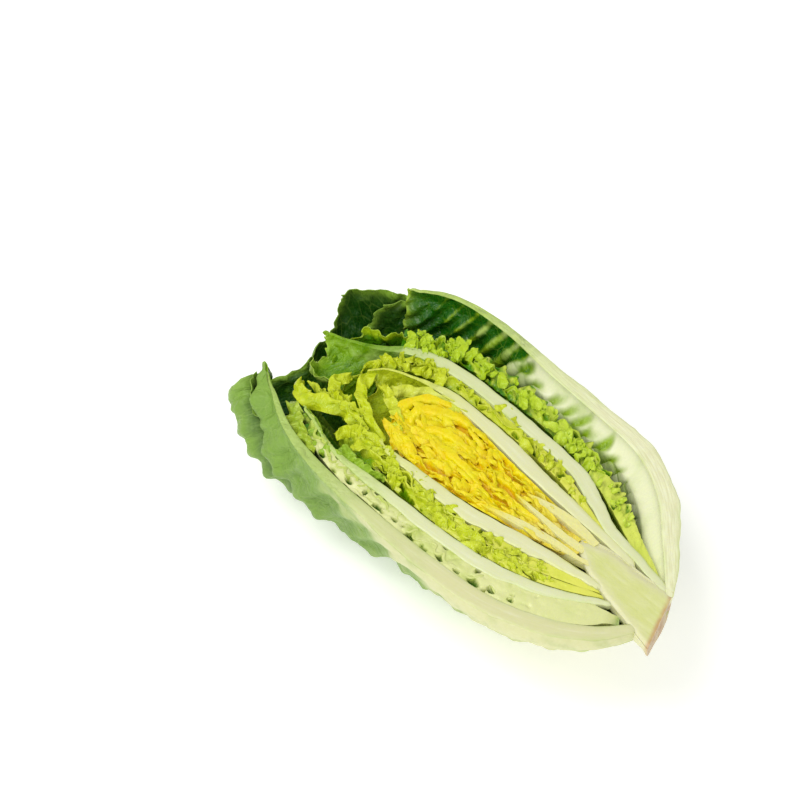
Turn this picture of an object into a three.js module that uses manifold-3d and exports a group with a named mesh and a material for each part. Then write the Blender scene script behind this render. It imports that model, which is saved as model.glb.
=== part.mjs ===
// Half of a small romaine lettuce head, cut lengthwise through its stem and lying on its rounded back.
// The flat cut face points up. Leaves grow from the stem at +X, wrap round the head's long axis one inside
// another, and end in ruffled tips towards -X. Each leaf is one solid. All sizes are in millimetres.
//
// Shapes are written in head coordinates: x along the axis towards the stem's cut end, y across the cut face
// ("far" is +y, "near" is -y) and z up, with the cut face at z = 0. The angle phi round the axis is 0 degrees
// at the far edge of the cut face, 90 straight below the axis and 180 at the near edge. A place t runs from 0
// at a leaf's base to 1 at its tip.
import * as THREE from "three";
import Module from "manifold-3d";

const wasm = await Module();
wasm.setup();

const ROUNDNESS = 2.4; // exponent of the superellipse that a leaf follows round the axis
const DEPTH_RATIO = 0.98; // depth of that section over its half width
const REST_DEPTH = 39.2; // depth of the flat spot that the half lies on, which is the half's height
const BLADE = 0.9; // thickness of a leaf away from its rib, unless it says otherwise
const TIP_ROUNDING = 0.1; // how much sooner a leaf ends at its sides than at its rib, unless it says otherwise
const LEAF_GAP = 0.32; // clearance cut between two leaves, and between a leaf and the stem
const LAYER_GAP = 0.5; // clearance between two outer leaves that lie on each other
const DEGREE = Math.PI / 180;

// The bowl that the outermost leaves lie on, one over the other, as x, y from base to tip.
const OUTER_FAR = [
  [70, 8], [60, 18.5], [47, 31], [33, 38], [15, 40.2], [-4, 41.8], [-24, 44.2], [-44, 42.5], [-60, 31],
  [-69, 17],
];
const OUTER_NEAR = [
  [70, -6], [63, -14], [52, -21], [38, -26], [20, -28], [0, -28.4], [-20, -27.6], [-38, -24.5], [-52, -18],
  [-62, -10],
];

// ---- Leaves, outermost first ----
// far, near: where the leaf's inner face meets the cut plane, or would meet it, as x, y from base to tip
// from, to: the angles that the leaf spans, from base to tip
// rib: the angle of its midrib; ribThick: the rib's thickness, and ribWidth: its half width, from base to tip
// ruffle: height of its waves from base to tip; wave: their length; seed: shifts them
// layer: an outer leaf's place in the stack on the common bowl, from the inside; ends: where its tip is on it
// flare: how far the blade round the angle "at" leans outwards and forwards at the tip
// rows, columns: how finely the solid is divided along and across the leaf
const LEAVES = [
  {
    name: "outer_leaf_near", colour: 0xb3c884, layer: 3, rib: 180, wave: 14, seed: 2.6, rows: 26, columns: 10,
    from: [136, 126, 119, 114, 112, 110, 114, 124], to: [180], flare: { at: 140, out: 6, forward: 5 },
    ribThick: [3, 5.2, 5.2, 4.6, 3.8, 2.6, 1.2], ribWidth: [8, 10, 9, 7, 5, 4, 3],
    ruffle: [0, 0, 0.3, 0.8, 1.2, 1.6, 2],
  },
  {
    name: "outer_leaf_under", colour: 0x7fa544, layer: 2, rib: 100, wave: 16, seed: 0.4, rows: 26, columns: 13,
    from: [84, 72, 58, 44, 30, 14, 2], to: [116, 122, 128, 134, 142, 158, 176], rounding: 0.02,
    ribThick: [2.4, 5, 5.2, 4.8, 3.4, 1.6, 0.9], ribWidth: [5, 11, 11, 10, 7, 5, 3],
    ruffle: [0, 0.2, 0.5, 0.7, 1.1, 2, 2.2],
  },
  {
    name: "outer_leaf_side", colour: 0x86ad49, layer: 1, rib: 50, wave: 15, seed: 1.9, rows: 26, columns: 9,
    from: [38, 32, 26, 20, 15, 12, 12], to: [70, 86, 96, 102, 104, 98, 84], ends: 0.93,
    ribThick: [2.4, 4, 3.2, 2.6, 2, 1.4, 0.9], ribWidth: [5, 10, 9, 7, 5, 4, 3],
    ruffle: [0, 0.1, 0.5, 0.8, 1, 1.4, 1.6],
  },
  {
    name: "outer_leaf_far", colour: 0xb4c87a, layer: 0, rib: 0, wave: 11, seed: 0.9, rows: 32, columns: 9,
    from: [0], to: [44, 60, 74, 82, 86, 84, 66], ends: 0.87,
    ribThick: [2.6, 5, 5.2, 4.8, 4.4, 2.6, 0.9], ribWidth: [5, 8, 9, 7, 5, 4, 3],
    ruffle: [0, 0, 0.5, 1.5, 2, 2.4, 2],
  },
  {
    name: "leaf_near_dotted", colour: 0xc9d86a, rib: 112, wave: 10, seed: 4.2, rows: 40, columns: 6,
    far: [
      [63, 7], [56, 12], [47, 17], [37, 22], [26, 25], [14, 27], [2, 28], [-10, 28], [-22, 27], [-32, 23],
      [-41, 16], [-49, 6],
    ],
    near: [
      [63, -9.3], [56, -14.6], [47, -19.6], [37, -23], [26, -24.9], [14, -25.6], [2, -25.7], [-10, -25.4],
      [-22, -25.2], [-32, -23.4], [-41, -20.4], [-50, -15.5],
    ],
    from: [100, 98, 98, 98, 98, 100, 112], to: [164, 178, 180, 180, 180, 180, 180], blade: 1.7,
    ribThick: [2, 2.6, 2.6, 2.4, 1.8, 1.7, 1.7], ribWidth: [5, 7, 6, 5, 4, 3, 3],
    ruffle: [0, 0.3, 0.9, 1, 1, 0.9, 1.2],
  },
  {
    name: "leaf_far_ruffled", colour: 0x9cc22e, rib: 62, wave: 10, seed: 3.1, rows: 44, columns: 6,
    far: [
      [66, 9.5], [55, 14.5], [44, 20.4], [33, 25], [20, 28.6], [4, 30.6], [-12, 31.2], [-27, 31], [-36, 26],
      [-42, 24.5], [-50, 18.5], [-58, 10],
    ],
    near: [
      [64, -5], [54, -9], [43, -14], [32, -18], [20, -21], [4, -23], [-12, -24], [-27, -23], [-36, -20],
      [-43, -16], [-51, -9], [-57, -1],
    ],
    from: [30, 8, 0, 0, 0, 0, 0], to: [84, 94, 97, 97, 97, 97, 104], blade: 1.3,
    ribThick: [2, 2.8, 2.6, 2.2, 1.8, 1.3, 1.3], ribWidth: [5, 7, 6, 5, 4, 3, 3],
    ruffle: [0, 0.4, 1.5, 1.7, 1.7, 1.2, 1],
  },
  {
    name: "leaf_near_ribbed", colour: 0xe0e8b4, rib: 180, wave: 10, seed: 5.3, rows: 22, columns: 6,
    far: [
      [60, 6], [54, 8.5], [46, 12], [38, 15], [28, 17.5], [16, 19], [4, 20], [-8, 20.5], [-19, 19.5],
      [-28, 17.5], [-36, 14], [-44, 5],
    ],
    near: [
      [61, -4.8], [55, -8.3], [47, -12.8], [38, -16], [28, -18.2], [16, -19.6], [4, -20.2], [-8, -20.4],
      [-19, -21.4], [-28, -21.4], [-37, -19], [-45, -16.4],
    ],
    from: [140, 110, 98, 98, 98, 104, 126], to: [180],
    ribThick: [1.6, 3, 4, 3.8, 3, 1, 0.9], ribWidth: [5, 7, 7, 6, 4, 3, 3],
    ruffle: [0, 0, 0, 0.2, 0.6, 1, 1],
  },
  {
    name: "leaf_far_hooded", colour: 0xc4d68a, rib: 0, wave: 12, seed: 0.2, rows: 24, columns: 8,
    far: [
      [68, 8], [57, 9.8], [46, 11.5], [36, 15.5], [24, 19.5], [6, 21], [-14, 21.8], [-32, 19.6], [-45, 13],
      [-55, 9], [-62, 6.5],
    ],
    near: [
      [66, -3], [56, -6], [46, -10], [36, -14], [24, -17.5], [6, -19], [-14, -18.5], [-32, -14], [-44, -6],
      [-53, -5.5], [-60, -1],
    ],
    from: [0], to: [50, 78, 84, 84, 88, 92, 112, 156, 178],
    ribThick: [2, 3, 4.2, 4.4, 4.2, 2, 0.9], ribWidth: [5, 7, 7, 6, 4, 3, 3],
    ruffle: [0, 0, 0, 0.2, 0.5, 0.7, 0.5],
  },
  {
    name: "leaf_near_crinkled", colour: 0xcbd63a, rib: 122, wave: 9, seed: 2.2, rows: 34, columns: 6,
    far: [
      [58, 5], [50, 7], [41, 10], [31, 13], [20, 15], [8, 16.5], [-4, 17], [-15, 16], [-26, 12], [-33, 6],
    ],
    near: [
      [58, -5], [50, -9.4], [41, -12.8], [31, -15.2], [20, -16.5], [8, -17], [-4, -17], [-15, -17],
      [-25, -17.6], [-33, -16.4],
    ],
    from: [108, 104, 100, 100, 100, 108, 126], to: [165, 180, 180, 180, 180, 180, 180], blade: 1.3,
    ribThick: [1.4, 2, 2, 1.6, 1.3, 1.3, 1.3], ribWidth: [4, 5, 5, 4, 3, 3, 3],
    ruffle: [0, 0.3, 0.7, 1, 1.1, 1.2, 1],
  },
  {
    name: "leaf_near_curled", colour: 0xc3d433, rib: 104, wave: 10, seed: 6.4, rows: 38, columns: 6,
    far: [
      [56, 4.5], [48, 6], [40, 8.5], [30, 11], [20, 13], [8, 14], [-4, 14.5], [-15, 13.5], [-26, 10], [-35, 5],
      [-44, -2], [-52, -6],
    ],
    near: [
      [56, -4.3], [48, -7.6], [40, -10.6], [30, -13], [20, -14], [8, -14], [-4, -13.8], [-15, -13.8],
      [-26, -12.4], [-36, -10.4], [-44, -12.2], [-53, -12],
    ],
    from: [108, 102, 98, 98, 98, 106, 130], to: [160, 180, 180, 180, 180, 180, 180], blade: 1.2,
    ribThick: [1.4, 2, 2, 1.6, 1.2, 1.2, 1.2], ribWidth: [4, 5, 5, 4, 3, 3, 3],
    ruffle: [0, 0.2, 0.4, 0.8, 1, 1.2, 1.2],
  },
  {
    name: "leaf_far_crinkled", colour: 0xc5d83c, rib: 70, wave: 10, seed: 1.2, rows: 36, columns: 7,
    far: [
      [50, 10], [40, 12.2], [30, 15.2], [20, 17.1], [8, 18.5], [-6, 19.5], [-20, 19.6], [-31, 17], [-38, 12.6],
      [-42.5, 8], [-43.5, 2],
    ],
    near: [
      [44, -5], [37, -8], [29, -11], [20, -13], [8, -14.5], [-6, -15], [-20, -14], [-30, -13], [-37, -10.4],
      [-42, -7.5], [-44, -3],
    ],
    from: [20, 4, 0, 0, 0, 0, 0], to: [84, 86, 86, 88, 92, 130, 176], blade: 1.2,
    ribThick: [1.4, 2, 2, 1.6, 1.2, 1.2, 1.2], ribWidth: [4, 5, 5, 4, 3, 3, 3],
    ruffle: [0, 0.3, 0.8, 0.9, 0.9, 1.2, 1.2],
  },
  {
    name: "leaf_far_folded", colour: 0xe4e7bc, rib: 0, wave: 10, seed: 3.7, rows: 24, columns: 8,
    far: [
      [57, 8], [48, 8.4], [38, 9], [26, 9.8], [12, 11.2], [-2, 12.8], [-14, 13.8], [-24, 13.6], [-32, 11.5],
      [-38, 8.5], [-41, 4.5],
    ],
    near: [
      [55, -2.5], [47, -3], [38, -4], [26, -6], [12, -7], [-2, -8], [-14, -9.2], [-24, -9], [-31, -6],
      [-37, -2], [-41, 2],
    ],
    from: [0], to: [50, 70, 80, 80, 84, 96, 150, 178, 178],
    ribThick: [2, 3, 4, 4.5, 4.4, 3, 1, 0.9, 0.9], ribWidth: [4, 6, 6, 5, 4, 3, 3],
    ruffle: [0, 0, 0, 0.1, 0.3, 0.6, 0.6],
  },
  {
    name: "leaf_near_pale", colour: 0xe9ecc6, rib: 180, wave: 8, seed: 4.9, rows: 18, columns: 6,
    far: [[56, 5], [48, 5.5], [40, 6.5], [30, 7.5], [19, 8.5], [8, 9.5], [-4, 10], [-13, 9.5], [-21, 6]],
    near: [
      [56, -2.2], [48, -2.8], [40, -3.8], [30, -5.5], [19, -7.7], [8, -9], [-4, -9.7], [-13, -10.2],
      [-21, -10.6],
    ],
    from: [140, 110, 98, 98, 98, 112, 150], to: [180],
    ribThick: [2, 3.2, 4.4, 4.6, 4, 2.6, 1], ribWidth: [4, 6, 6, 5, 4, 3, 3],
    ruffle: [0, 0, 0, 0, 0.2, 0.3, 0.3],
  },
];

// The yellow heart: a packed mass of small crumpled leaves, with their folds showing in the cut face.
const HEART = {
  colour: 0xe8d62a,
  far: [
    [46, 6.6], [38, 7], [28, 7.6], [16, 8.8], [4, 10.2], [-8, 11.4], [-17, 10.6], [-22.5, 7.4], [-24.5, 3.6],
  ],
  near: [
    [45, -0.6], [38, -1.8], [28, -4], [16, -6.2], [4, -7.6], [-8, -8], [-16, -7], [-21.5, -3], [-24.5, 0.8],
  ],
  foldSpacing: 4.6,
  foldDepth: 1.7,
  hollow: 0.3, // how far below the cut face the highest folds lie
};

// The stem: a cone of pale pith with the slanting knife cut of the butt at its wide end.
const STEM = {
  colour: 0xd9dc96,
  far: [[71.5, 9.6], [64, 8.3], [56, 8.2], [49, 7.7], [45, 6.3], [43, 4.6]],
  near: [[78.3, -8.8], [68, -6.3], [58, -4.1], [51, -1.8], [46, 1], [43, 3.6]],
};

// ---- Small helpers ----
const clamp01 = (v) => Math.min(1, Math.max(0, v));

const smooth = (lo, hi, v) => {
  const s = clamp01((v - lo) / (hi - lo));
  return s * s * (3 - 2 * s);
};

// A value listed at evenly spaced places from a leaf's base to its tip.
function along(values, t) {
  if (values.length === 1) return values[0];
  const place = clamp01(t) * (values.length - 1);
  const i = Math.min(values.length - 2, Math.floor(place));
  return values[i] + (values[i + 1] - values[i]) * (place - i);
}

const spline = (points) => new THREE.SplineCurve(points.map(([x, y]) => new THREE.Vector2(x, y)));

// ---- Surfaces ----
// The point at t and phi on the smooth bowl through a far and a near outline.
function bowlPoint(far, near, t, phi) {
  const f = far.getPoint(t);
  const n = near.getPoint(t);
  const c = Math.cos(phi * DEGREE);
  const s = Math.sin(phi * DEGREE);
  const across = Math.sign(c) * Math.abs(c) ** (2 / ROUNDNESS);
  const down = Math.abs(s) ** (2 / ROUNDNESS);
  const half = (f.y - n.y) / 2;
  const x = (f.x + n.x) / 2 + ((f.x - n.x) / 2) * c;
  return new THREE.Vector3(x, (f.y + n.y) / 2 + half * across, -DEPTH_RATIO * half * down);
}

// The outward normal of a surface given as a function of t and phi. Past the cut plane there is no surface.
function normalOf(surface, t, phi) {
  const dt = 0.004;
  const dp = 0.6;
  const alongLeaf = surface(Math.min(1, t + dt), phi).sub(surface(Math.max(0, t - dt), phi));
  const roundLeaf = surface(t, Math.min(180, phi + dp)).sub(surface(t, Math.max(0, phi - dp)));
  return roundLeaf.cross(alongLeaf).normalize();
}

// A leaf's smooth surface, the height of its waves over it, and its thickness, at each t and phi.
function leafSurface(leaf) {
  const far = spline(leaf.far ?? OUTER_FAR);
  const near = spline(leaf.near ?? OUTER_NEAR);
  const length = (far.getLength() + near.getLength()) / 2;
  const flare = leaf.flare ?? { at: 0, out: 0, forward: 0 };

  const base = (t, phi) => {
    const p = bowlPoint(far, near, t, phi);
    const lean = smooth(0.4, 1, t) * Math.exp(-(((phi - flare.at) / 30) ** 2));
    p.x -= flare.forward * lean;
    p.y -= flare.out * lean;
    return p;
  };

  // Distance round the leaf from its rib
  const fromRib = (t, phi) => {
    const half = (far.getPoint(t).y - near.getPoint(t).y) / 2;
    return half * (phi - leaf.rib) * DEGREE;
  };

  const thickness = (t, phi) => {
    const side = fromRib(t, phi) / along(leaf.ribWidth, t);
    const blade = leaf.blade ?? BLADE;
    return blade + Math.max(0, along(leaf.ribThick, t) - blade) * Math.exp(-side * side);
  };

  // The waves stay clear of the rib. Those of an outer leaf also follow the leaves that it lies on.
  const covered = leaf.layer > 0 ? LEAVES.filter((other) => other.layer < leaf.layer).map(leafSurface) : [];
  const height = (t, phi) => {
    const side = fromRib(t, phi);
    const width = along(leaf.ribWidth, t);
    const size = along(leaf.ruffle, t) * smooth(width * 0.5, width * 1.8, Math.abs(side));
    const turn = (2 * Math.PI * t * length) / leaf.wave + 0.09 * Math.abs(side) + leaf.seed;
    const wave = 0.7 * Math.sin(turn) + 0.3 * Math.sin(0.57 * turn + 0.15 * side + 2 * leaf.seed);
    if (leaf.layer === undefined) return size * wave;
    if (leaf.layer === 0) return size * (wave - 0.8);
    const lift = (other) => other.spread(t, phi) * (other.height(t, phi) + other.thickness(t, phi) + LAYER_GAP);
    return Math.max(0, ...covered.map(lift)) + size * (wave + 1) * 0.7;
  };

  // 1 where the leaf lies, falling to 0 round it
  const spread = (t, phi) => {
    const place = t / (leaf.ends ?? 1);
    const outside = Math.max(along(leaf.from, place) - phi, phi - along(leaf.to, place), 0);
    return (1 - smooth(0, 18, outside)) * (1 - smooth(1, 1.08, place));
  };

  return { base, height, thickness, spread };
}

// ---- Solids ----
function manifold(points, faces) {
  const vertProperties = new Float32Array(points.flatMap((p) => [p.x, p.y, p.z]));
  const triVerts = new Uint32Array(faces.flat());
  return new wasm.Manifold(new wasm.Mesh({ numProp: 3, vertProperties, triVerts }));
}

// A closed mesh from two matching grids of points, joined round their edge. The second grid lies on the side
// that the rows' direction crossed with the columns' points away from. Both have the same diagonals.
function solidBetween(first, second, rows, columns) {
  const offset = first.length;
  const at = (i, j) => i * columns + j;
  const faces = [];
  for (let i = 0; i < rows - 1; i++) {
    for (let j = 0; j < columns - 1; j++) {
      const [a, b, c, d] = [at(i, j), at(i + 1, j), at(i + 1, j + 1), at(i, j + 1)];
      faces.push([a, b, c], [a, c, d]);
      faces.push([offset + a, offset + c, offset + b], [offset + a, offset + d, offset + c]);
    }
  }
  const wall = (a, b) => faces.push([a, offset + b, b], [a, offset + a, offset + b]);
  for (let i = 0; i < rows - 1; i++) {
    wall(at(i, 0), at(i + 1, 0));
    wall(at(i + 1, columns - 1), at(i, columns - 1));
  }
  for (let j = 0; j < columns - 1; j++) {
    wall(at(0, j + 1), at(0, j));
    wall(at(rows - 1, j), at(rows - 1, j + 1));
  }
  return manifold([...first, ...second], faces);
}

// A leaf as a solid. grow thickens it on both faces and past the cut plane, to cut its neighbours clear of it.
function leafSolid(leaf, grow = 0) {
  const { base, height, thickness } = leafSurface(leaf);
  const top = grow > 0 ? 1 : 0;
  const floor = grow > 0 ? -99 : -REST_DEPTH;
  const inner = [];
  const outer = [];
  for (let i = 0; i < leaf.rows; i++) {
    for (let j = 0; j < leaf.columns; j++) {
      const place = i / (leaf.rows - 1);
      const lo = along(leaf.from, place);
      const hi = along(leaf.to, place);
      const phi = lo + ((hi - lo) * j) / (leaf.columns - 1);
      const shorter = (leaf.rounding ?? TIP_ROUNDING) * Math.min(1, ((phi - leaf.rib) / 80) ** 2);
      const t = (leaf.ends ?? 1) * place * (1 - shorter);
      const n = normalOf(base, t, phi);
      const p = base(t, phi).addScaledVector(n, height(t, phi));
      const q = p.clone().addScaledVector(n, thickness(t, phi) + grow);
      p.addScaledVector(n, -grow);
      const inCutPlane = phi < 0.01 || phi > 179.99;
      p.z = inCutPlane ? top : Math.min(top, Math.max(p.z, floor + BLADE));
      q.z = inCutPlane ? top : Math.min(top, Math.max(q.z, floor));
      inner.push(p);
      outer.push(q);
    }
  }
  return solidBetween(inner, outer, leaf.rows, leaf.columns);
}

// A filled half bowl between a far and a near outline, both from the stem's end to the tips' end, flat on top.
function filledSolid(farPoints, nearPoints, rows, columns, grow = 0) {
  const far = spline(farPoints);
  const near = spline(nearPoints);
  const points = [];
  for (let i = 0; i < rows; i++) {
    for (let j = 0; j < columns; j++) {
      const t = i / (rows - 1);
      const p = bowlPoint(far, near, t, (180 * j) / (columns - 1));
      const middle = (far.getPoint(t).y + near.getPoint(t).y) / 2;
      p.addScaledVector(new THREE.Vector3(0, p.y - middle, p.z).normalize(), grow);
      if (i === 0) p.x += grow;
      if (i === rows - 1) p.x -= grow;
      if (j === 0 || j === columns - 1) p.z = grow > 0 ? 1 : 0;
      points.push(p);
    }
  }
  const at = (i, j) => i * columns + j;
  const last = columns - 1;
  const faces = [];
  for (let i = 0; i < rows - 1; i++) {
    for (let j = 0; j < last; j++) {
      faces.push([at(i, j), at(i + 1, j + 1), at(i + 1, j)], [at(i, j), at(i, j + 1), at(i + 1, j + 1)]);
    }
    faces.push([at(i, 0), at(i + 1, 0), at(i + 1, last)], [at(i, 0), at(i + 1, last), at(i, last)]);
  }
  for (let j = 1; j < last; j++) {
    faces.push([at(0, 0), at(0, j + 1), at(0, j)]);
    faces.push([at(rows - 1, 0), at(rows - 1, j), at(rows - 1, j + 1)]);
  }
  return manifold(points, faces);
}

// Depth of the heart's folds below the cut face: ridges that run along the head and wind from side to side.
function foldDepth(x, y) {
  const wind = 1.7 * Math.sin(x / 4.1 + Math.sin(y / 3.1)) + 0.9 * Math.sin(x / 2.3 - y / 2.9);
  const ridge = Math.sin((2 * Math.PI * (y + wind + x / 9)) / HEART.foldSpacing);
  const across = Math.sin((2 * Math.PI * (x + 1.9 * Math.sin(y / 2.2))) / (1.7 * HEART.foldSpacing));
  return HEART.hollow + HEART.foldDepth * (0.5 + 0.3 * ridge + 0.2 * across) * smooth(46, 34, x);
}

// A slab over the heart whose lower face is the folds, to be cut away from it.
function foldCutter(rows, columns) {
  const lower = [];
  const upper = [];
  for (let i = 0; i < rows; i++) {
    for (let j = 0; j < columns; j++) {
      const x = 48 - (75 * i) / (rows - 1);
      const y = -11 + (25 * j) / (columns - 1);
      lower.push(new THREE.Vector3(x, y, -foldDepth(x, y)));
      upper.push(new THREE.Vector3(x, y, 2));
    }
  }
  return solidBetween(lower, upper, rows, columns);
}

const largest = (solid) => solid.decompose().sort((a, b) => b.volume() - a.volume())[0];

function meshOf(name, colour, solid) {
  const { vertProperties, triVerts } = solid.getMesh();
  const geometry = new THREE.BufferGeometry();
  geometry.setAttribute("position", new THREE.BufferAttribute(vertProperties, 3));
  geometry.setIndex(new THREE.BufferAttribute(triVerts, 1));
  const material = new THREE.MeshStandardMaterial({ color: colour, roughness: 0.45, metalness: 0 });
  const mesh = new THREE.Mesh(geometry, material);
  mesh.name = name;
  return mesh;
}

// ---- Assembly, from the stem outwards ----
const head = new THREE.Group();

const stem = filledSolid(STEM.far, STEM.near, 10, 13);
head.add(meshOf("stem", STEM.colour, stem));
const keepClear = [filledSolid(STEM.far, STEM.near, 10, 13, LEAF_GAP), stem];

const heartBody = filledSolid(HEART.far, HEART.near, 14, 11);
const heart = largest(heartBody.subtract(foldCutter(64, 24)).subtract(keepClear[0]).subtract(stem));
head.add(meshOf("heart", HEART.colour, heart));
keepClear.push(filledSolid(HEART.far, HEART.near, 14, 11, LEAF_GAP), heart);

for (const leaf of [...LEAVES].reverse()) {
  let solid = leafSolid(leaf);
  for (const other of keepClear) {
    if (solid.intersect(other).volume() > 0.001) solid = solid.subtract(other);
  }
  solid = largest(solid);
  head.add(meshOf(leaf.name, leaf.colour, solid));
  keepClear.push(leafSolid(leaf, LEAF_GAP), solid);
}

// The origin is the middle of the flat spot's plane: the centre of the bottom of the half's box.
const box = new THREE.Box3().setFromObject(head);
head.position.set(-(box.min.x + box.max.x) / 2, -(box.min.y + box.max.y) / 2, -box.min.z);

export default head;
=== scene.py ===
import math

import bpy
import numpy as np
from mathutils import Matrix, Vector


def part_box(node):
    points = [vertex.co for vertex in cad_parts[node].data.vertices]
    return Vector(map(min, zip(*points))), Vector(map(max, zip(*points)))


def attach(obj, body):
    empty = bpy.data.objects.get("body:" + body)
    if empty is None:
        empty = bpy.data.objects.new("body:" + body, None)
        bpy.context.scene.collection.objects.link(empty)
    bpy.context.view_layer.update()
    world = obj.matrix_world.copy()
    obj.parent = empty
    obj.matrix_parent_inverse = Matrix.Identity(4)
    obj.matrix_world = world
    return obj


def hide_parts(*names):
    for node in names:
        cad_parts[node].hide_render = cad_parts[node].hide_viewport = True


# Looks of the halved romaine lettuce head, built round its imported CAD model.
#
# Shapes are written in head coordinates in millimetres: x along the axis towards the stem's cut end, y
# across the cut face ("far" is +y, "near" is -y) and z up, with the cut face at z = 0. The angle phi round
# the axis is 0 degrees at the far edge of the cut face, 90 straight below the axis and 180 at the near edge.
# A place t runs from 0 at a leaf's base to 1 at its tip. In leaf coordinates, a is the distance from the
# base and b the distance round the leaf from its rib.

MM = 0.001
ROUNDNESS = 2.4  # exponent of the superellipse that a leaf follows round the axis
DEPTH_RATIO = 0.98  # depth of that section over its half width
REST_DEPTH = 39.2  # depth of the flat spot that the half lies on
BRINK = 0.22  # how far the rounded brink of a cut rib lies below the cut face
EASE = 0.5  # height within which a surface is bent under its top
LAYER_GAP = 0.35  # clearance between two outer leaves that lie on each other
FOOT_END = -0.03  # the place t where a leaf's foot has thinned to what runs on under the stem
FLESH_SLOPE = 4.5  # how far the inner side of the far outer leaf's rib slopes inwards
STEM_END = (78.3, -8.8)  # the stem's largest x and smallest y, which tie these coordinates to the frame

# The bowl that the outermost leaves lie on, one over the other, as x, y from base to tip.
OUTER_FAR = [
    (70, 8), (60, 18.5), (47, 31), (33, 38), (15, 40.2), (-4, 41.8), (-24, 44.2), (-44, 42.5), (-60, 31),
    (-69, 17),
]
OUTER_NEAR = [
    (70, -6), (63, -14), (52, -21), (38, -26), (20, -28), (0, -28.4), (-20, -27.6), (-38, -24.5), (-52, -18),
    (-62, -10),
]

# Leaves, outermost first. A list of numbers gives values at evenly spaced places from base to tip.
#   far, near: where the inner face meets the cut plane
#   start, to: the angles phi that the leaf spans; rib: the angle of its rib; ends: the place t of its tip
#   foot: how far it runs on past its base; rounding: how much sooner it ends at its sides than at its rib
#   layer: order of the outer leaves, which lie on each other; flare: angle, outward and forward lean of a tip
#   folded, pleated: a deep fold near the tip; a wall with recesses between its veins
#   blade, rib_thick: thickness of the blade and of the rib; rib_width: how far the rib reaches aside
#   ruffle, wave: height and length of its long waves; blister, veins: height and length of its bulges
#   margin: size of the crinkles at its tip; green: how far it turns to blade colour; its dark tone and shade:
#       how far it turns to dark green, partly its own colour and partly painted shade
#   frill: height, length and reach below the cut of its fine crinkles; edge: unevenness of its cut edge
#   lean: how far its cut edge leans inwards; grid: rows and columns of its mesh
#   bed: its crumpled body at the cut, from inner to outer (distances from the leaf) and up to the place end,
#     with its level, the relief, length, width, sharpness and slant of its folds, its fringe, how few its
#     holes are, and the distance between its slots
#   lobes: the small lobes that stand in the bed, with their top and their mean turn
COMMON = dict(ends=1, rounding=0.1, lean=[0], folded=False, pleated=False)
OUTER = dict(COMMON, far=OUTER_FAR, near=OUTER_NEAR, foot=2, blade=0.7)
RIBBED = dict(COMMON, foot=3.4, blade=0.6)
YELLOW = dict(
    COMMON, palette="yellow", foot=0, blade=0.5, rib_thick=[1.4, 2, 2, 1.6, 0.7, 0.7, 0.7],
    rib_width=[4, 5, 5, 4, 3, 3, 3], green=[0.2, 0.4, 0.6, 0.7, 0.8, 0.9, 1], edge=0.5,
    blister=[0, 0, 0.3, 0.4, 0.4, 0.4, 0.4], veins=7, margin=1,
)
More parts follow.
